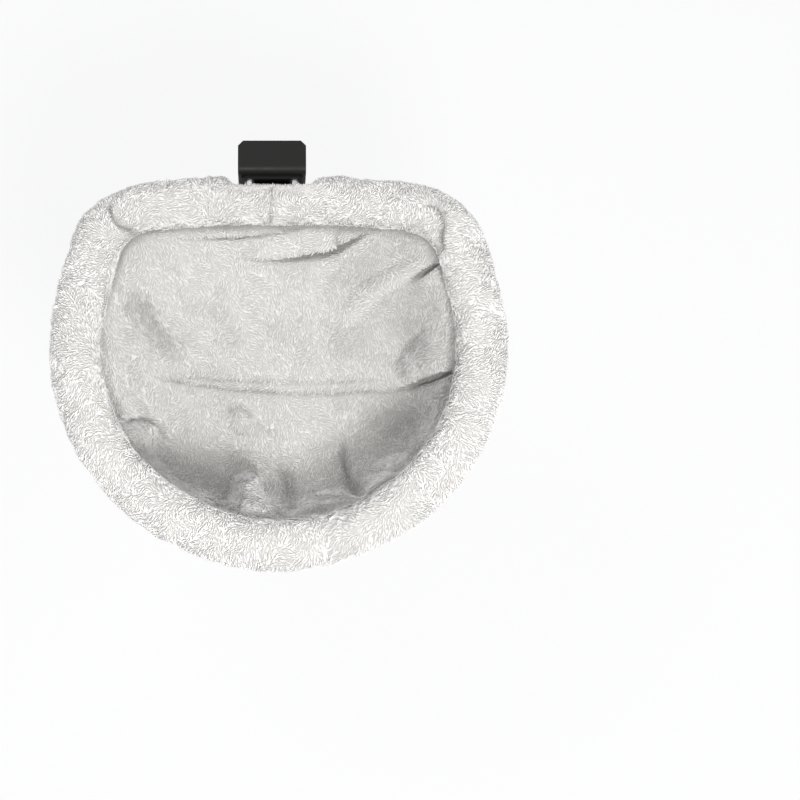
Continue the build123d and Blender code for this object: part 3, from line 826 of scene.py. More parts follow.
def zinc_material(colour):
    """Bright zinc plate on turned and pressed steel, with a cloudy, slightly uneven gloss."""
    material, tree, shader = new_material("bright_zinc_plate", roughness=0.3, metallic=1.0)
    gloss = surface_noise(tree, 0.005, detail=4.0, span=(0.24, 0.42))
    tree.links.new(gloss, shader.inputs["Roughness"])
    cloud = surface_noise(tree, 0.005, detail=4.0)
    inputs = {MIX_FACTOR: cloud, MIX_FIRST: rgba(colour, 0.82), MIX_SECOND: rgba(colour)}
    plate = add_node(tree, "ShaderNodeMix", {"data_type": "RGBA"}, inputs).outputs[MIX_RESULT]
    finish_shader(tree, shader, plate, (), surface_noise(tree, 0.0006), 0.00002)
    return material


def moulded_material(name, colour, roughness, grain, depth):
    """Moulded rubber or plastic with an even spark-eroded grain."""
    material, tree, shader = new_material(name, roughness=roughness)
    worn = surface_noise(tree, 0.012, detail=3.0, span=(0.85, 1.3))
    finish_shader(tree, shader, rgba(colour), (worn,), surface_noise(tree, grain, detail=2.0), depth)
    return material


def tuft_object(name, length, width):
    """One lock of pile: a thin three-sided spike that leans over and lies along +Y."""
    # Each ring is its share of the length along and above the cloth, and its share of the width
    ring_shares = [(-0.02, -0.10, 1.0), (0.46, 0.22, 0.95)]
    tip_share = (1.0, 0.20)
    points, reach = [], []
    for along, above, wide in ring_shares:
        for turn in (0, 1, 2):
            angle = math.pi / 2 + turn * math.tau / 3
            across = math.cos(angle) * width * wide / 2
            lift = math.sin(angle) * width * wide / 3
            points.append((across, along * length, above * length + lift))
            reach.append(max(along, 0))
    points.append((0, tip_share[0] * length, tip_share[1] * length))
    reach.append(1.0)
    faces = [(0, 1, 2)]
    for turn in (0, 1, 2):
        beside = (turn + 1) % 3
        faces.append((turn, 3 + turn, 3 + beside, beside))
        faces.append((3 + turn, 6, 3 + beside))
    mesh = bpy.data.meshes.new(name)
    mesh.from_pydata(points, [], faces)
    mesh.shade_smooth()
    store_numbers(mesh, "reach", reach)
    return bpy.data.objects.new(name, mesh)


def new_tree(name, inputs, output):
    """A Geometry Nodes tree with named inputs and one output, and the sockets of its inputs."""
    tree = bpy.data.node_groups.new(name, "GeometryNodeTree")
    for title, kind in inputs.items():
        tree.interface.new_socket(name=title, in_out="INPUT", socket_type="NodeSocket" + kind)
    tree.interface.new_socket(name=output, in_out="OUTPUT", socket_type="NodeSocketGeometry")
    return tree, add_node(tree, "NodeGroupInput").outputs


def laid_copies(tree, points, piece, upward, along, scale, turn=None):
    """Copies of an object at points, standing up in one direction with their +Y laid along another."""
    settings = {"primary_axis": "Z", "secondary_axis": "Y"}
    axes = {"Primary Axis": upward, "Secondary Axis": along}
    lay = add_node(tree, "FunctionNodeAxesToRotation", settings, axes)
    if turn is not None:
        inputs = {"Rotation": lay.outputs[0], "Rotate By": turn}
        lay = add_node(tree, "FunctionNodeRotateRotation", {"rotation_space": "LOCAL"}, inputs)
    one = add_node(tree, "GeometryNodeObjectInfo", {"transform_space": "ORIGINAL"}, {"Object": piece})
    inputs = {
        "Points": points, "Instance": one.outputs["Geometry"],
        "Rotation": lay.outputs[0], "Scale": scale,
    }
    return add_node(tree, "GeometryNodeInstanceOnPoints", inputs=inputs).outputs[0]


def end_tree(tree, copies, material, output):
    """Turns copies into plain mesh with a material, as the tree's output."""
    real = add_node(tree, "GeometryNodeRealizeInstances", inputs={"Geometry": copies})
    inputs = {"Geometry": real.outputs[0], "Material": material}
    finished = add_node(tree, "GeometryNodeSetMaterial", inputs=inputs)
    add_node(tree, "NodeGroupOutput", inputs={output: finished.outputs[0]})


def pile_tree():
    """Geometry Nodes that stand tufts on a cloth, each laid along the cloth's flow."""
    sockets = {
        "Cloth": "Geometry", "Spacing": "Float", "Tuft": "Object",
        "Ruffle": "Float", "Seed": "Int", "Material": "Material",
    }
    tree, given = new_tree("pile_on_cloth", sockets, "Pile")
    settings = {"distribute_method": "POISSON"}
    inputs = {
        "Mesh": given["Cloth"], "Distance Min": given["Spacing"],
        "Density Max": MOST_TUFTS, "Seed": given["Seed"],
    }
    scatter = add_node(tree, "GeometryNodeDistributePointsOnFaces", settings, inputs).outputs
    stored = {}
    for name, kind in (("flow", "FLOAT_VECTOR"), ("loft", "FLOAT")):
        node = add_node(tree, "GeometryNodeInputNamedAttribute", {"data_type": kind}, {"Name": name})
        stored[name] = node.outputs[0]
    less = add_node(tree, "ShaderNodeMath", {"operation": "MULTIPLY"}, {0: given["Ruffle"], 1: -1.0})
    ranges = {
        "swing": (less.outputs[0], given["Ruffle"]), "lift": (-0.08, 0.08),
        "size": (0.75, 1.2), "tone": (0.0, 1.0),
    }
    chance = {}
    for name, (low, high) in ranges.items():
        limits = {RANDOM_LOW: low, RANDOM_HIGH: high, "Seed": given["Seed"]}
        node = add_node(tree, "FunctionNodeRandomValue", {"data_type": "FLOAT"}, limits)
        chance[name] = node.outputs[RANDOM_RESULT]
    turn = add_node(tree, "ShaderNodeCombineXYZ", inputs={"X": chance["lift"], "Z": chance["swing"]})
    twist = add_node(tree, "FunctionNodeEulerToRotation", inputs={"Euler": turn.outputs[0]})
    factors = {0: chance["size"], 1: stored["loft"]}
    size = add_node(tree, "ShaderNodeMath", {"operation": "MULTIPLY"}, factors)
    tufts = laid_copies(
        tree, scatter["Points"], given["Tuft"], scatter["Normal"], stored["flow"], size.outputs[0],
        turn=twist.outputs[0],
    )
    settings = {"data_type": "FLOAT", "domain": "INSTANCE"}
    inputs = {"Geometry": tufts, "Name": "tone", "Value": chance["tone"]}
    toned = add_node(tree, "GeometryNodeStoreNamedAttribute", settings, inputs)
    end_tree(tree, toned.outputs[0], given["Material"], "Pile")
    return tree


def run_tree(carrier, tree, values):
    """Applies a Geometry Nodes tree to an object's mesh, and returns the result as a plain mesh."""
    modifier = carrier.modifiers.new(tree.name, "NODES")
    modifier.node_group = tree
    for item in tree.interface.items_tree:
        if item.in_out == "INPUT" and item.name in values:
            modifier[item.identifier] = values[item.name]
    bpy.context.view_layer.update()
    evaluated = carrier.evaluated_get(bpy.context.evaluated_depsgraph_get())
    mesh = bpy.data.meshes.new_from_object(evaluated)
    carrier.modifiers.remove(modifier)
    return mesh


def keep_faces(mesh, name, keep):
    """A copy of a mesh with only the faces that are kept, and its named attributes."""
    copy = mesh.copy()
    copy.name = name
    work = bmesh.new()
    work.from_mesh(copy)
    work.faces.ensure_lookup_table()
    drop = [face for face, kept in zip(work.faces, keep) if not kept]
    bmesh.ops.delete(work, geom=drop, context="FACES")
    work.to_mesh(copy)
    work.free()
    return copy


def face_middles(mesh):
    """The middles of a mesh's faces."""
    middles = np.zeros(len(mesh.polygons) * 3)
    mesh.polygons.foreach_get("center", middles)
    return middles.reshape(-1, 3)


def dress(piece, body, slot, *replaced):
    """Makes a piece ride on a body and stand for its nodes, which it hides; the slot is not used."""
    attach(piece, body)
    if replaced:
        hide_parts(*replaced)
    return piece


def grow_pile(name, cloth_mesh, tuft, settings, seed, material, slot):
    carrier = add_object(name + "_carrier", cloth_mesh)
    spacing = settings.pile_spacing * 1.0
    values = {"Spacing": spacing, "Ruffle": settings.pile_ruffle}
    values.update({"Tuft": tuft, "Seed": seed, "Material": material})
    mesh = run_tree(carrier, bpy.data.node_groups["pile_on_cloth"], values)
    bpy.data.objects.remove(carrier)
    mesh.name = name
    return dress(add_object(name, mesh), SOFT_BODY, slot)


def clamp_notch(points, plan, rim):
    """Draws the sleeve in round the clamp, so that it clears the carrier plate."""
    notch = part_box("carrier_washers")[1][1] - rim.notch_gap
    run_out = smoothstep(np.abs(points[:, 0]), rim.notch_half_width, rim.notch_shoulder)
    limit = notch + (plan.back + plan.radius - notch) * run_out
    at_back = points[:, 1] > plan.corner_y
    over = np.where(at_back, points[:, 1] - limit, 0)
    blend = rim.notch_blend
    pressed = np.where(over > -blend, (over + blend) ** 2 / (4 * blend), 0)
    pressed = np.where(over > blend, over, pressed)
    points[:, 1] -= pressed
    return points


def sleeve_grid(plan, rim, stage):
    """The sleeve's cloth: a stuffed tube round the hoop with lumps, creases, a seam and the notch."""
    columns, stations = 72, 560
    points, normals = plan.tube(stations, columns, plan.radius - rim.cloth_drop)
    lumps = slow_noises(points, SLEEVE_LUMPS) * rim.lump_height
    points = plan.leaned(points + normals * lumps[:, None], rim)
    sculptor = Sculptor(points, normals, plan, stage, rim.crease_sink)
    sculptor.make(SLEEVE_CREASES)
    points = clamp_notch(sculptor.result(), plan, rim)
    beside_clamp = (np.abs(points[:, 0]) < rim.notch_shoulder) & (points[:, 1] > plan.back)
    held = (sculptor.pressed > 0.25) | beside_clamp | (normals[:, 2] < -0.25)
    return points.reshape(stations, columns, 3), held.reshape(stations, columns), sculptor.pressed


def sleeve_flow(grid, pressed, plan, rim):
    """Direction and height of the pile on the sleeve, combed outward with whorls."""
    along_step = np.roll(grid, -1, axis=0) - np.roll(grid, 1, axis=0)
    round_step = np.roll(grid, -1, axis=1) - np.roll(grid, 1, axis=1)
    along_step /= np.linalg.norm(along_step, axis=2, keepdims=True)
    round_step /= np.linalg.norm(round_step, axis=2, keepdims=True)
    points = grid.reshape(-1, 3)
    turn = 0.4 + slow_noises(points, SLEEVE_WHORLS)
    turn = turn.reshape(grid.shape[:2])[..., None]
    flow = round_step * np.cos(turn) + along_step * np.sin(turn)
    loft = 1.0 + slow_noise(points, 0.006, 23) * 0.24
    parting = 0.6 * pressed
    cropped = 0.45 * (1 - smoothstep(np.abs(points[:, 0]), rim.notch_half_width, rim.notch_shoulder))
    blend = 0.2 * plan.radius
    cropped = cropped * smoothstep(points[:, 1], plan.back - blend, plan.back + blend)
    return flow.reshape(-1, 3), loft * (1 - np.maximum(parting, cropped))


def cloth_moves(mesh, held_points, rim):
    """How far each point of a stuffed sleeve moves when cloth physics lets its stuffing press out."""
    copy = add_object("sleeve_copy", mesh.copy())
    even = copy.modifiers.new("even", "REMESH")
    even.mode = "VOXEL"
    even.voxel_size = rim.cloth_voxel
    apply_modifiers(copy)
    start = read_points(copy.data)
    held_tree = point_tree(held_points)
    near = [held_tree.find(point)[2] < rim.cloth_voxel for point in start.tolist()]
    group = copy.vertex_groups.new(name="held")
    group.add(np.flatnonzero(near).tolist(), 1.0, "REPLACE")
    settings = copy.modifiers.new("cloth", "CLOTH").settings
    settings.quality = 6
    settings.vertex_group_mass = "held"
    settings.use_pressure = True
    settings.uniform_pressure_force = rim.cloth_pressure
    settings.shrink_min = -rim.cloth_ease
    settings.effector_weights.gravity = 0
    scene = bpy.context.scene
    for step in range(1, CLOTH_STEPS + 1):
        scene.frame_set(step)
    settled = copy.evaluated_get(bpy.context.evaluated_depsgraph_get())
    moves = read_points(settled.data) - start
    scene.frame_set(1)
    bpy.data.objects.remove(copy)
    lengths = np.maximum(np.linalg.norm(moves, axis=1, keepdims=True), 1e-9)
    moves *= rim.cloth_reach * np.tanh(lengths / rim.cloth_reach) / lengths
    return spread_moves(read_points(mesh), start, moves)


def point_tree(points):
    """A search tree over points."""
    tree = kdtree.KDTree(len(points))
    for number, point in enumerate(points.tolist()):
        tree.insert(point, number)
    tree.balance()
    return tree


def spread_moves(points, carriers, moves):
    """Moves for points, each mixed from those of the nearest carriers."""
    tree = point_tree(carriers)
    mixed = np.zeros_like(points)
    for number, point in enumerate(points.tolist()):
        found = tree.find_n(point, 6)
        shares = np.array([1 / (distance + 1e-4) ** 2 for _, _, distance in found])
        rows = [index for _, index, _ in found]
        mixed[number] = shares @ moves[rows] / shares.sum()
    return mixed


class HAMMOCK_OT_rim_sleeve(bpy.types.Operator):
    """Makes the plush sleeve of the rim and its pile"""

    bl_idname = "hammock.rim_sleeve"
    bl_label = "Rim Sleeve"

    def execute(self, context):
        scene = context.scene
        rim, colours = scene.hammock_rim, scene.hammock_colours
        plan = RimPlan(rim)
        grid, held, pressed = sleeve_grid(plan, rim, scene.hammock_stage)
        stuffed = grid_mesh("stuffed_sleeve", grid, closed_rows=True)
        grid = grid + cloth_moves(stuffed, grid[held], rim).reshape(grid.shape)
        mesh = grid_mesh("rim_sleeve", grid, closed_rows=True)
        flow, loft = sleeve_flow(grid, pressed, plan, rim)
        comb(mesh, flow, loft, pressed)
        sleeve = add_object("rim_sleeve", mesh)
        mesh.materials.append(pile_cloth_material("plush_backing", colours.plush_painted_root_shade))
        dress(sleeve, SOFT_BODY, "rim_plush", *SLEEVE_NODES)
        self.grow(mesh, grid.shape, rim, colours)
        return {"FINISHED"}

    def grow(self, mesh, shape, rim, colours):
        """Grows the pile in lengths that stay small enough for one piece each."""
        material = pile_material("brushed_plush_pile", colours.plush_tip, colours.plush_painted_root_shade)
        tuft = tuft_object("plush_lock", rim.pile_length, rim.pile_width)
        stations, columns = shape[:2]
        station = np.arange(len(mesh.polygons)) // columns
        lengths = ("back_right", "side_right", "front_right", "front_left", "side_left", "back_left")
        ends = np.array([0, 0.13, 0.30, 0.5, 0.70, 0.87, 1.0]) * stations
        for number, name in enumerate(lengths):
            keep = (station >= ends[number]) & (station < ends[number + 1])
            stretch = keep_faces(mesh, "plush_" + name, keep)
            grow_pile("rim_pile_" + name, stretch, tuft, rim, number + 1, material, "rim_plush")


def lining_grid(form, bag, plan, rim, stage):
    """The lining's inner face with its folds, its normals, and where its pile is pressed flat or darkened
    with painted shade.
    """
    inside = bag.shell_cloth + bag.wadding_loft + bag.lining_cloth + 2 * bag.layer_gap
    grid = form.skin(
        inside, columns=560, wall_rows=104, floor_rows=50, curl=bag.lining_curl, rise=bag.lining_rise
    )
    normals = -grid_normals(grid)
    normals[-1] = (0, 0, 1)
    points, normals = grid.reshape(-1, 3), normals.reshape(-1, 3)
    points = plan.leaned(points + normals * slow_noises(points, LINING_LUMPS)[:, None], rim)
    sink = bag.fold_sink * (1 - 0.5 * form.near_rim(points[:, 2], inside))
    sculptor = Sculptor(points, normals, plan, stage, sink)
    sculptor.hold_top(form.top + inside, bag.held_strip)
    sculptor.raised += bag.lining_slack * smoothstep(form.top - points[:, 2], 0, form.depth / 4)
    for folds in (BACK_FOLDS, SIDE_FOLDS, FLOOR_FOLDS):
        sculptor.make(folds)
    # Painted shade along the rim's inner edge, where the rim shades the lining
    sculptor.press(painted_rim_shadow(sculptor, plan, rim))
    return sculptor.result().reshape(grid.shape), normals, sculptor.pressed


def painted_rim_shadow(sculptor, plan, rim):
    """Painted shade where the lining runs under the padded rim, strongest behind, where the strongest shade
    also presses the pile flat.
    """
    along = np.arange(720) / 720 * 2 * plan.half_length
    place, out = plan.place(along)
    inner = np.concatenate([place - out * plan.radius, np.full((len(along), 1), plan.height)], axis=1)
    edge = photo_pixels(plan.leaned(inner, rim), plan, sculptor.stage)
    distance = np.full(len(sculptor.pixels), np.inf)
    for pixel in edge:
        offset = sculptor.pixels - pixel
        distance = np.minimum(distance, np.hypot(offset[:, 0], offset[:, 1]))
    behind = 1 - smoothstep(sculptor.pixels[:, 1], *BEHIND_RIM_PX)
    return (0.3 + 0.6 * behind) * np.exp(-(distance * sculptor.scale / PAINTED_RIM_SHADOW_WIDTH) ** 2)


def add_cloth_uv(mesh, columns, width, length):
    """A UV map in metres, so that a weave follows the cloth."""
    layer = mesh.uv_layers.new(name="cloth")
    loops = np.zeros(len(mesh.loops), int)
    mesh.loops.foreach_get("vertex_index", loops)
    rows = len(mesh.vertices) // columns
    across = (loops % columns) / columns * width
    down = (loops // columns) / rows * length
    layer.data.foreach_set("uv", np.stack([across, down], axis=-1).ravel().astype(np.float32))


def apply_modifiers(piece):
    """Turns a piece's modifiers into plain mesh."""
    bpy.context.view_layer.update()
    evaluated = piece.evaluated_get(bpy.context.evaluated_depsgraph_get())
    mesh = bpy.data.meshes.new_from_object(evaluated)
    mesh.name = piece.name
    piece.modifiers.clear()
    piece.data = mesh


def thicken(piece, thickness):
    """Gives a cloth its thickness, away from the side its faces point to."""
    solid = piece.modifiers.new("thickness", "SOLIDIFY")
    solid.thickness = thickness
    solid.offset = -1
    apply_modifiers(piece)


class HAMMOCK_OT_bag_lining(bpy.types.Operator):
    """Makes the two fleece panels inside the bag and their pile"""

    bl_idname = "hammock.bag_lining"
    bl_label = "Bag Lining"

    def execute(self, context):
        scene = context.scene
        rim, bag, colours = scene.hammock_rim, scene.hammock_bag, scene.hammock_colours
        plan = RimPlan(rim)
        grid, normals, pressed = lining_grid(BagForm(plan, bag), bag, plan, rim, scene.hammock_stage)
        whole = grid_mesh("lining", grid, pole=True)
        self.comb_fleece(whole, normals, pressed)
        backing = pile_cloth_material("fleece_backing", colours.fleece_painted_root_shade)
        pile = pile_material("short_fleece_pile", colours.fleece_tip, colours.fleece_painted_root_shade)
        tuft = tuft_object("fleece_lock", bag.pile_length, bag.pile_width)
        seam = float(nodes_box(["lining_front_panel"])[1][1])
        behind = face_middles(whole)[:, 1] > seam
        left = face_middles(whole)[:, 0] < 0
        backing_thickness = bag.lining_cloth * 0.8
        seed = 11
        for name, keep, node in (("back", behind, LINING_NODES[0]), ("front", ~behind, LINING_NODES[1])):
            for side, on_side in (("left", left), ("right", ~left)):
                stretch = keep_faces(whole, "fleece_" + name + side, keep & on_side)
                title = "lining_pile_" + name + "_" + side
                grow_pile(title, stretch, tuft, bag, seed, pile, "lining_plush")
                seed += 1
            panel = add_object("lining_" + name, keep_faces(whole, "lining_" + name, keep))
            panel.data.materials.append(backing)
            thicken(panel, backing_thickness)
            dress(panel, SOFT_BODY, "lining_plush", node)
        return {"FINISHED"}

    def comb_fleece(self, mesh, normals, pressed):
        """Lays the fleece forward and down, with whorls, and flat in the deepest creases."""
        points = read_points(mesh)
        normals, pressed = normals[:len(points)], pressed[:len(points)]
        fall = TOWARD_FRONT - normals * (normals @ TOWARD_FRONT)[:, None] + np.array([0, 0, -0.3])
        turn = slow_noises(points, LINING_WHORLS)[:, None]
        flow = fall * np.cos(turn) + np.cross(normals, fall) * np.sin(turn)
        loft = (1.0 + slow_noise(points, 0.006, 33) * 0.25) * (1 - 0.5 * smoothstep(pressed, 0.5, 1))
        comb(mesh, flow, loft, pressed)


class HAMMOCK_OT_bag_shell(bpy.types.Operator):
    """Makes the bag's outer cloth and its wadding"""

    bl_idname = "hammock.bag_shell"
    bl_label = "Bag Shell"

    def execute(self, context):
        scene = context.scene
        bag, colours = scene.hammock_bag, scene.hammock_colours
        plan = RimPlan(scene.hammock_rim)
        form = BagForm(plan, bag)
        shell = self.layer(form, scene, "bag_shell", 0.0, 360, bag.shell_cloth)
        shell.data.materials.append(woven_material("plain_woven_shell_cloth", colours.shell))
        dress(shell, SOFT_BODY, "shell_cloth", *SHELL_NODES)
        start = bag.shell_cloth + bag.layer_gap
        pressed_loft = bag.wadding_loft * 0.35
        wadding = self.layer(form, scene, "bag_wadding_layer", start, 180, pressed_loft)
        wadding.data.materials.append(fibre_material("polyester_wadding", colours.wadding, 0.003))
        dress(wadding, SOFT_BODY, "wadding", "bag_wadding")
        return {"FINISHED"}

    def layer(self, form, scene, name, inside, columns, thickness):
        """One skin of the bag, with its wrinkles, and its thickness inside its outer face."""
        bag = scene.hammock_bag
        grid = form.skin(inside, columns, columns // 8, columns // 15, bag.shell_curl)
        grid = form.plan.leaned(grid, scene.hammock_rim)
        normals = grid_normals(grid)
        normals[-1] = (0, 0, -1)
        points = grid.reshape(-1, 3)
        stretched = points * np.array([1.0, 1.0, 0.35])
        folds = slow_noise(stretched, 0.024, 41) + slow_noise(points, 0.05, 42) - 0.5
        grid = grid + normals * (folds * bag.wrinkle).reshape(*grid.shape[:2], 1)
        if inside == 0:
            self.sew(scene, grid, normals)
        mesh = grid_mesh(name, grid, pole=True)
        add_cloth_uv(mesh, columns, 2 * form.plan.half_length, form.depth * 2)
        mesh.flip_normals()
        piece = add_object(name, mesh)
        thicken(piece, thickness)
        return piece

    def sew(self, scene, grid, normals):
        """Lays a row of stitches on each side of the shell's two seams."""
        bag = scene.hammock_bag
        seam = float(nodes_box([SHELL_NODES[0]])[0][1])
        rows = []
        for line, outward in (cross_seam(grid, normals, seam), middle_seam(grid, normals, seam)):
            place, out, run = even_places(line, outward, bag.stitch_pitch)
            side = np.cross(out, run)
            rows += [(place + side * bag.stitch_row, out, run), (place - side * bag.stitch_row, out, run)]
        places, outs, runs = (np.vstack(part) for part in zip(*rows))
        mesh = bpy.data.meshes.new("stitch_places")
        mesh.from_pydata(places.tolist(), [], [])
        store_vectors(mesh, "out", outs)
        store_vectors(mesh, "run", runs)
        carrier = add_object("stitch_places", mesh)
        thread = fibre_material("polyester_sewing_thread", scene.hammock_colours.thread, 0.0004)
        values = {"Stitch": stitch_object(bag.stitch_length), "Seed": 7, "Material": thread}
        stitches = run_tree(carrier, stitch_tree(), values)
        bpy.data.objects.remove(carrier)
        stitches.name = "shell_stitches"
        dress(add_object("shell_stitches", stitches), SOFT_BODY, "shell_cloth")


def cross_seam(grid, normals, seam):
    """Places and normals where the shell's columns cross the seam from side to side."""
    places, outward = [], []
    for column in range(grid.shape[1]):
        past = grid[:, column, 1] - seam
        crossings = np.flatnonzero((past[:-1] > 0) & (past[1:] <= 0))
        if len(crossings):
            row = crossings[0]
            share = past[row] / (past[row] - past[row + 1])
            places.append(grid[row, column] * (1 - share) + grid[row + 1, column] * share)
            outward.append(normals[row, column])
    order = np.argsort([place[0] for place in places])
    return np.array(places)[order], np.array(outward)[order]


def middle_seam(grid, normals, seam):
    """Places and normals of the seam from the front over the bag's floor to the cross seam."""
    half = grid.shape[1] // 2
    line = np.vstack([grid[:-1, half], grid[::-1, 0]])
    outward = np.vstack([normals[:-1, half], normals[::-1, 0]])
    ahead = line[:, 1] < seam
    return line[ahead], outward[ahead]


def even_places(line, outward, pitch):
    """Evenly spaced places along a line, with the cloth's normal and the line's direction there."""
    run = np.concatenate([[0], np.cumsum(np.linalg.norm(np.diff(line, axis=0), axis=1))])
    stops = np.arange(pitch, run[-1] - pitch, pitch)
    place = np.stack([np.interp(stops, run, line[:, axis]) for axis in range(3)], axis=-1)
    out = np.stack([np.interp(stops, run, outward[:, axis]) for axis in range(3)], axis=-1)
    ahead = np.gradient(place, axis=0)
    return place, out, ahead / np.linalg.norm(ahead, axis=1, keepdims=True)


def stitch_object(length):
    """One stitch: a short length of thread along +Y whose ends dip into the cloth."""
    # Each ring is its share of the length along and above the cloth, and its share of the width
    ring_shares = ((-0.5, -0.04, 0.4), (-0.34, 0.08, 1.0), (0.34, 0.08, 1.0), (0.5, -0.04, 0.4))
    sides, points, faces = 6, [], []
    for along, above, wide in ring_shares:
        radius = length * 0.13 * wide
        for turn in range(sides):
            angle = turn * math.tau / sides
            height = above * length + math.sin(angle) * radius
            points.append((math.cos(angle) * radius, along * length, height))
    for ring in range(3):
        for turn in range(sides):
            start, beside = ring * sides + turn, ring * sides + (turn + 1) % sides
            faces.append((start, start + sides, beside + sides, beside))
    faces += [tuple(range(sides)), tuple(reversed(range(3 * sides, 4 * sides)))]
    mesh = bpy.data.meshes.new("stitch")
    mesh.from_pydata(points, [], faces)
    mesh.shade_smooth()
    return bpy.data.objects.new("stitch", mesh)


def stitch_tree():
    """Geometry Nodes that lay one stitch at each place of a seam, flat on the cloth and along it."""
    sockets = {"Places": "Geometry", "Stitch": "Object", "Seed": "Int", "Material": "Material"}
    tree, given = new_tree("stitches_on_seam", sockets, "Stitches")
    vector = {"data_type": "FLOAT_VECTOR"}
    out = add_node(tree, "GeometryNodeInputNamedAttribute", vector, {"Name": "out"})
    run = add_node(tree, "GeometryNodeInputNamedAttribute", vector, {"Name": "run"})
    limits = {RANDOM_LOW: 0.9, RANDOM_HIGH: 1.1, "Seed": given["Seed"]}
    node = add_node(tree, "FunctionNodeRandomValue", {"data_type": "FLOAT"}, limits)
    size = node.outputs[RANDOM_RESULT]
    laid = laid_copies(tree, given["Places"], given["Stitch"], out.outputs[0], run.outputs[0], size)
    end_tree(tree, laid, given["Material"], "Stitches")
    return tree


class HAMMOCK_OT_rim_foam(bpy.types.Operator):
    """Makes the foam core inside the sleeve"""

    bl_idname = "hammock.rim_foam"
    bl_label = "Rim Foam"

    def execute(self, context):
        scene = context.scene
        rim = scene.hammock_rim
        plan = RimPlan(rim)
        low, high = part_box("rim_foam")
        stations, columns = 280, 28
        points = plan.tube(stations, columns, (high[2] - low[2]) / 2 - rim.foam_gap)[0]
        points = clamp_notch(plan.leaned(points, rim), plan, rim)
        points[:, 1] -= np.where(np.abs(points[:, 0]) < rim.notch_shoulder, rim.foam_notch, 0)
        mesh = grid_mesh("rim_foam_core", points.reshape(stations, columns, 3), closed_rows=True)
        foam = add_object("rim_foam_core", mesh)
        mesh.materials.append(fibre_material("open_cell_foam", scene.hammock_colours.foam, 0.0012))
        dress(foam, SOFT_BODY, "rim_foam", "rim_foam")
        return {"FINISHED"}


class HAMMOCK_OT_hard_finishes(bpy.types.Operator):
    """Gives the clamp, its fasteners, the knob and the hoop their finishes"""

    bl_idname = "hammock.hard_finishes"
    bl_label = "Hard Finishes"

    def execute(self, context):
        colours = context.scene.hammock_colours
        finishes = {
            "clamp_steel": powder_coat_material(colours.powder_coat),
            "zinc_steel": zinc_material(colours.zinc),
            "pad_rubber": moulded_material("moulded_matt_rubber", colours.rubber, 0.8, 0.0009, 0.00012),
            "knob_plastic": moulded_material("grained_nylon", colours.nylon, 0.5, 0.0007, 0.00008),
            "hoop_steel": moulded_material("black_hoop_enamel", colours.enamel, 0.3, 0.002, 0.00003),
        }
        for part in frame["record"]["subparts"]:
            finish = finishes.get(part["material_slot"])
            if finish is None:
                continue
            mesh = frame["nodes"][part["node"]].data
            mesh.materials.clear()
            mesh.materials.append(finish)
        return {"FINISHED"}


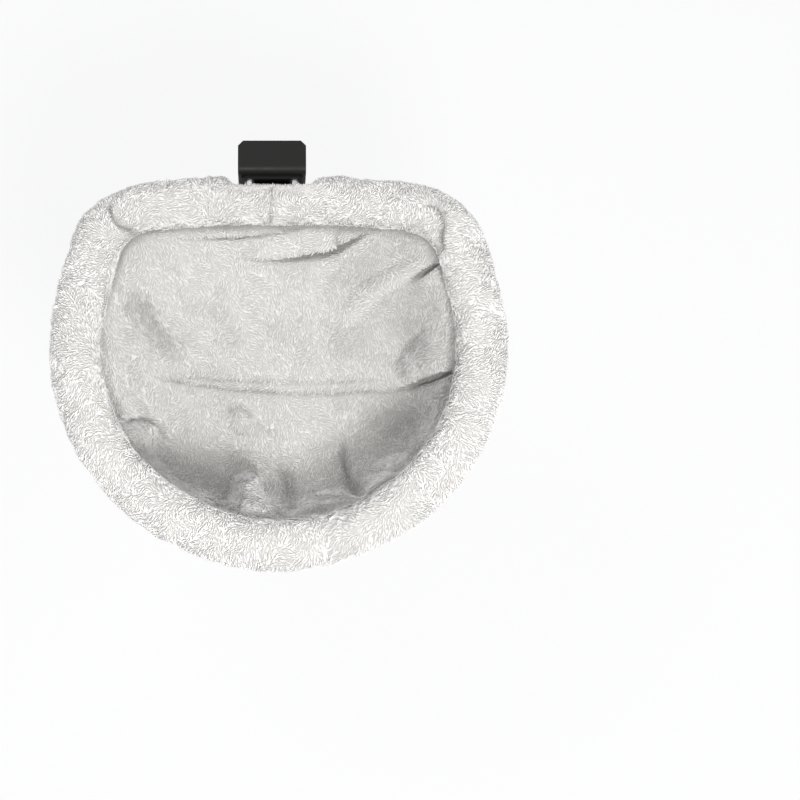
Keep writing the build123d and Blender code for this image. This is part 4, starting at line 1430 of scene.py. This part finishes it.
class HAMMOCK_OT_stage(bpy.types.Operator):
    """Sets up the camera, the lights and the pale floor"""

    bl_idname = "hammock.stage"
    bl_label = "Stage"

    def execute(self, context):
        scene = context.scene
        stage = scene.hammock_stage
        plan = RimPlan(scene.hammock_rim)
        self.add_camera(scene, stage, plan)
        self.add_lights(plan)
        self.add_floor(scene, stage)
        scene.view_settings.view_transform = "Standard"
        return {"FINISHED"}

    def add_camera(self, scene, stage, plan):
        """A camera at the photograph's angle, shifted so that the rim falls where it does there."""
        camera = bpy.data.cameras.new("camera")
        camera.sensor_width = 36
        camera.lens = stage.focal_length_px * camera.sensor_width / PHOTO_SIZE_PX
        camera.shift_x = (PHOTO_SIZE_PX / 2 - RIM_MIDDLE_PX[0]) / PHOTO_SIZE_PX
        camera.shift_y = (RIM_MIDDLE_PX[1] - PHOTO_SIZE_PX / 2) / PHOTO_SIZE_PX
        camera.clip_end = 50
        eye = bpy.data.objects.new("camera", camera)
        view = Vector(camera_axes(stage)[0])
        eye.location = plan.middle - view * stage.camera_distance
        eye.rotation_euler = view.to_track_quat("-Z", "Y").to_euler()
        scene.collection.objects.link(eye)
        scene.camera = eye

    def add_lights(self, plan):
        """A key light from the front and above, and weaker ones from the right and from behind."""
        # Name, place from the middle of the rim, size and power
        lamps = (
            ("key", (0.34, -1.15, 1.65), 0.6, 36.5),
            ("side", (1.3, -0.3, 1.6), 0.6, 6.0),
            ("back", (-0.8, 0.8, 1.8), 0.8, 12.0),
        )
        for name, place, size, power in lamps:
            lamp = bpy.data.lights.new(name, "AREA")
            lamp.shape = "DISK"
            lamp.size = size
            lamp.energy = power
            light = bpy.data.objects.new(name, lamp)
            light.location = plan.middle + Vector(place)
            light.rotation_euler = (-Vector(place)).to_track_quat("-Z", "Y").to_euler()
            bpy.context.scene.collection.objects.link(light)

    def add_floor(self, scene, stage):
        """A pale floor that keeps a soft shadow, in a room of the same colour."""
        shown = rgba(stage.background)
        material = bpy.data.materials.new("pale_floor")
        tree = self.clear_tree(material)
        plain = add_node(tree, "ShaderNodeBsdfDiffuse", inputs={"Color": shown})
        bright = add_node(tree, "ShaderNodeEmission", inputs={"Color": shown, "Strength": 1.0})
        # A tenth of what is seen stays plain, and keeps the shadow
        inputs = {0: self.seen_directly(tree), 1: 0.9}
        share = add_node(tree, "ShaderNodeMath", {"operation": "MULTIPLY"}, inputs)
        self.end_in(tree, "ShaderNodeOutputMaterial", share.outputs[0], plain, bright)
        reach = 8.0
        height = -stage.floor_drop
        corners = [(x * reach, y * reach, height) for x, y in ((-1, -1), (1, -1), (1, 1), (-1, 1))]
        mesh = bpy.data.meshes.new("floor")
        mesh.from_pydata(corners, [], [(0, 1, 2, 3)])
        mesh.materials.append(material)
        add_object("floor", mesh)
        scene.world = bpy.data.worlds.new("room")
        tree = self.clear_tree(scene.world)
        soft_light = rgba(linear("#F6F8FB"))
        soft = add_node(tree, "ShaderNodeBackground", inputs={"Color": soft_light, "Strength": 0.77})
        seen = add_node(tree, "ShaderNodeBackground", inputs={"Color": shown, "Strength": 1.0})
        self.end_in(tree, "ShaderNodeOutputWorld", self.seen_directly(tree), soft, seen)

    def clear_tree(self, owner):
        """The emptied node tree of a material or a world."""
        owner.use_nodes = True
        owner.node_tree.nodes.clear()
        return owner.node_tree

    def end_in(self, tree, output, share, first, second):
        """Mixes two shaders by a share and gives them to an output node."""
        shaders = {0: share, 1: first.outputs[0], 2: second.outputs[0]}
        mixed = add_node(tree, "ShaderNodeMixShader", inputs=shaders)
        add_node(tree, output, inputs={"Surface": mixed.outputs[0]})

    def seen_directly(self, tree):
        """1 for what the camera sees, straight, in a gloss or through glass."""
        path = add_node(tree, "ShaderNodeLightPath").outputs
        seen = path["Is Camera Ray"]
        for ray in ("Is Glossy Ray", "Is Transmission Ray"):
            either = add_node(tree, "ShaderNodeMath", {"operation": "MAXIMUM"}, {0: seen, 1: path[ray]})
            seen = either.outputs[0]
        return seen


class HAMMOCK_PT_panel(bpy.types.Panel):
    """Lists the hammock's steps in the sidebar"""

    bl_idname = "HAMMOCK_PT_panel"
    bl_label = "Desk Cat Hammock"
    bl_space_type = "VIEW_3D"
    bl_region_type = "UI"
    bl_category = "Hammock"

    def draw(self, context):
        layout = self.layout
        for operator in STEPS:
            layout.operator(operator.bl_idname)
        for name in SETTINGS:
            settings = getattr(context.scene, name)
            box = layout.box()
            for setting in settings.bl_rna.properties:
                if not setting.is_readonly and setting.identifier != "name":
                    box.prop(settings, setting.identifier)


SETTINGS = {
    "hammock_rim": HammockRimSettings,
    "hammock_bag": HammockBagSettings,
    "hammock_stage": HammockStageSettings,
    "hammock_colours": HammockColourSettings,
}
STEPS = (
    HAMMOCK_OT_stage,
    HAMMOCK_OT_hard_finishes,
    HAMMOCK_OT_rim_foam,
    HAMMOCK_OT_rim_sleeve,
    HAMMOCK_OT_bag_shell,
    HAMMOCK_OT_bag_lining,
)


def register():
    """Makes the steps and their settings known."""
    for settings in SETTINGS.values():
        bpy.utils.register_class(settings)
    for operator in STEPS:
        bpy.utils.register_class(operator)
    bpy.utils.register_class(HAMMOCK_PT_panel)
    for name, settings in SETTINGS.items():
        setattr(bpy.types.Scene, name, bpy.props.PointerProperty(type=settings))


def unregister():
    """Takes the steps and their settings away again."""
    for name in SETTINGS:
        delattr(bpy.types.Scene, name)
    bpy.utils.unregister_class(HAMMOCK_PT_panel)
    for operator in reversed(STEPS):
        bpy.utils.unregister_class(operator)
    for settings in reversed(list(SETTINGS.values())):
        bpy.utils.unregister_class(settings)


def main():
    """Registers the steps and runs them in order."""
    register()
    pile_tree()
    bpy.ops.hammock.stage()
    bpy.ops.hammock.hard_finishes()
    bpy.ops.hammock.rim_foam()
    bpy.ops.hammock.rim_sleeve()
    bpy.ops.hammock.bag_shell()
    bpy.ops.hammock.bag_lining()


if __name__ == "__main__":
    main()
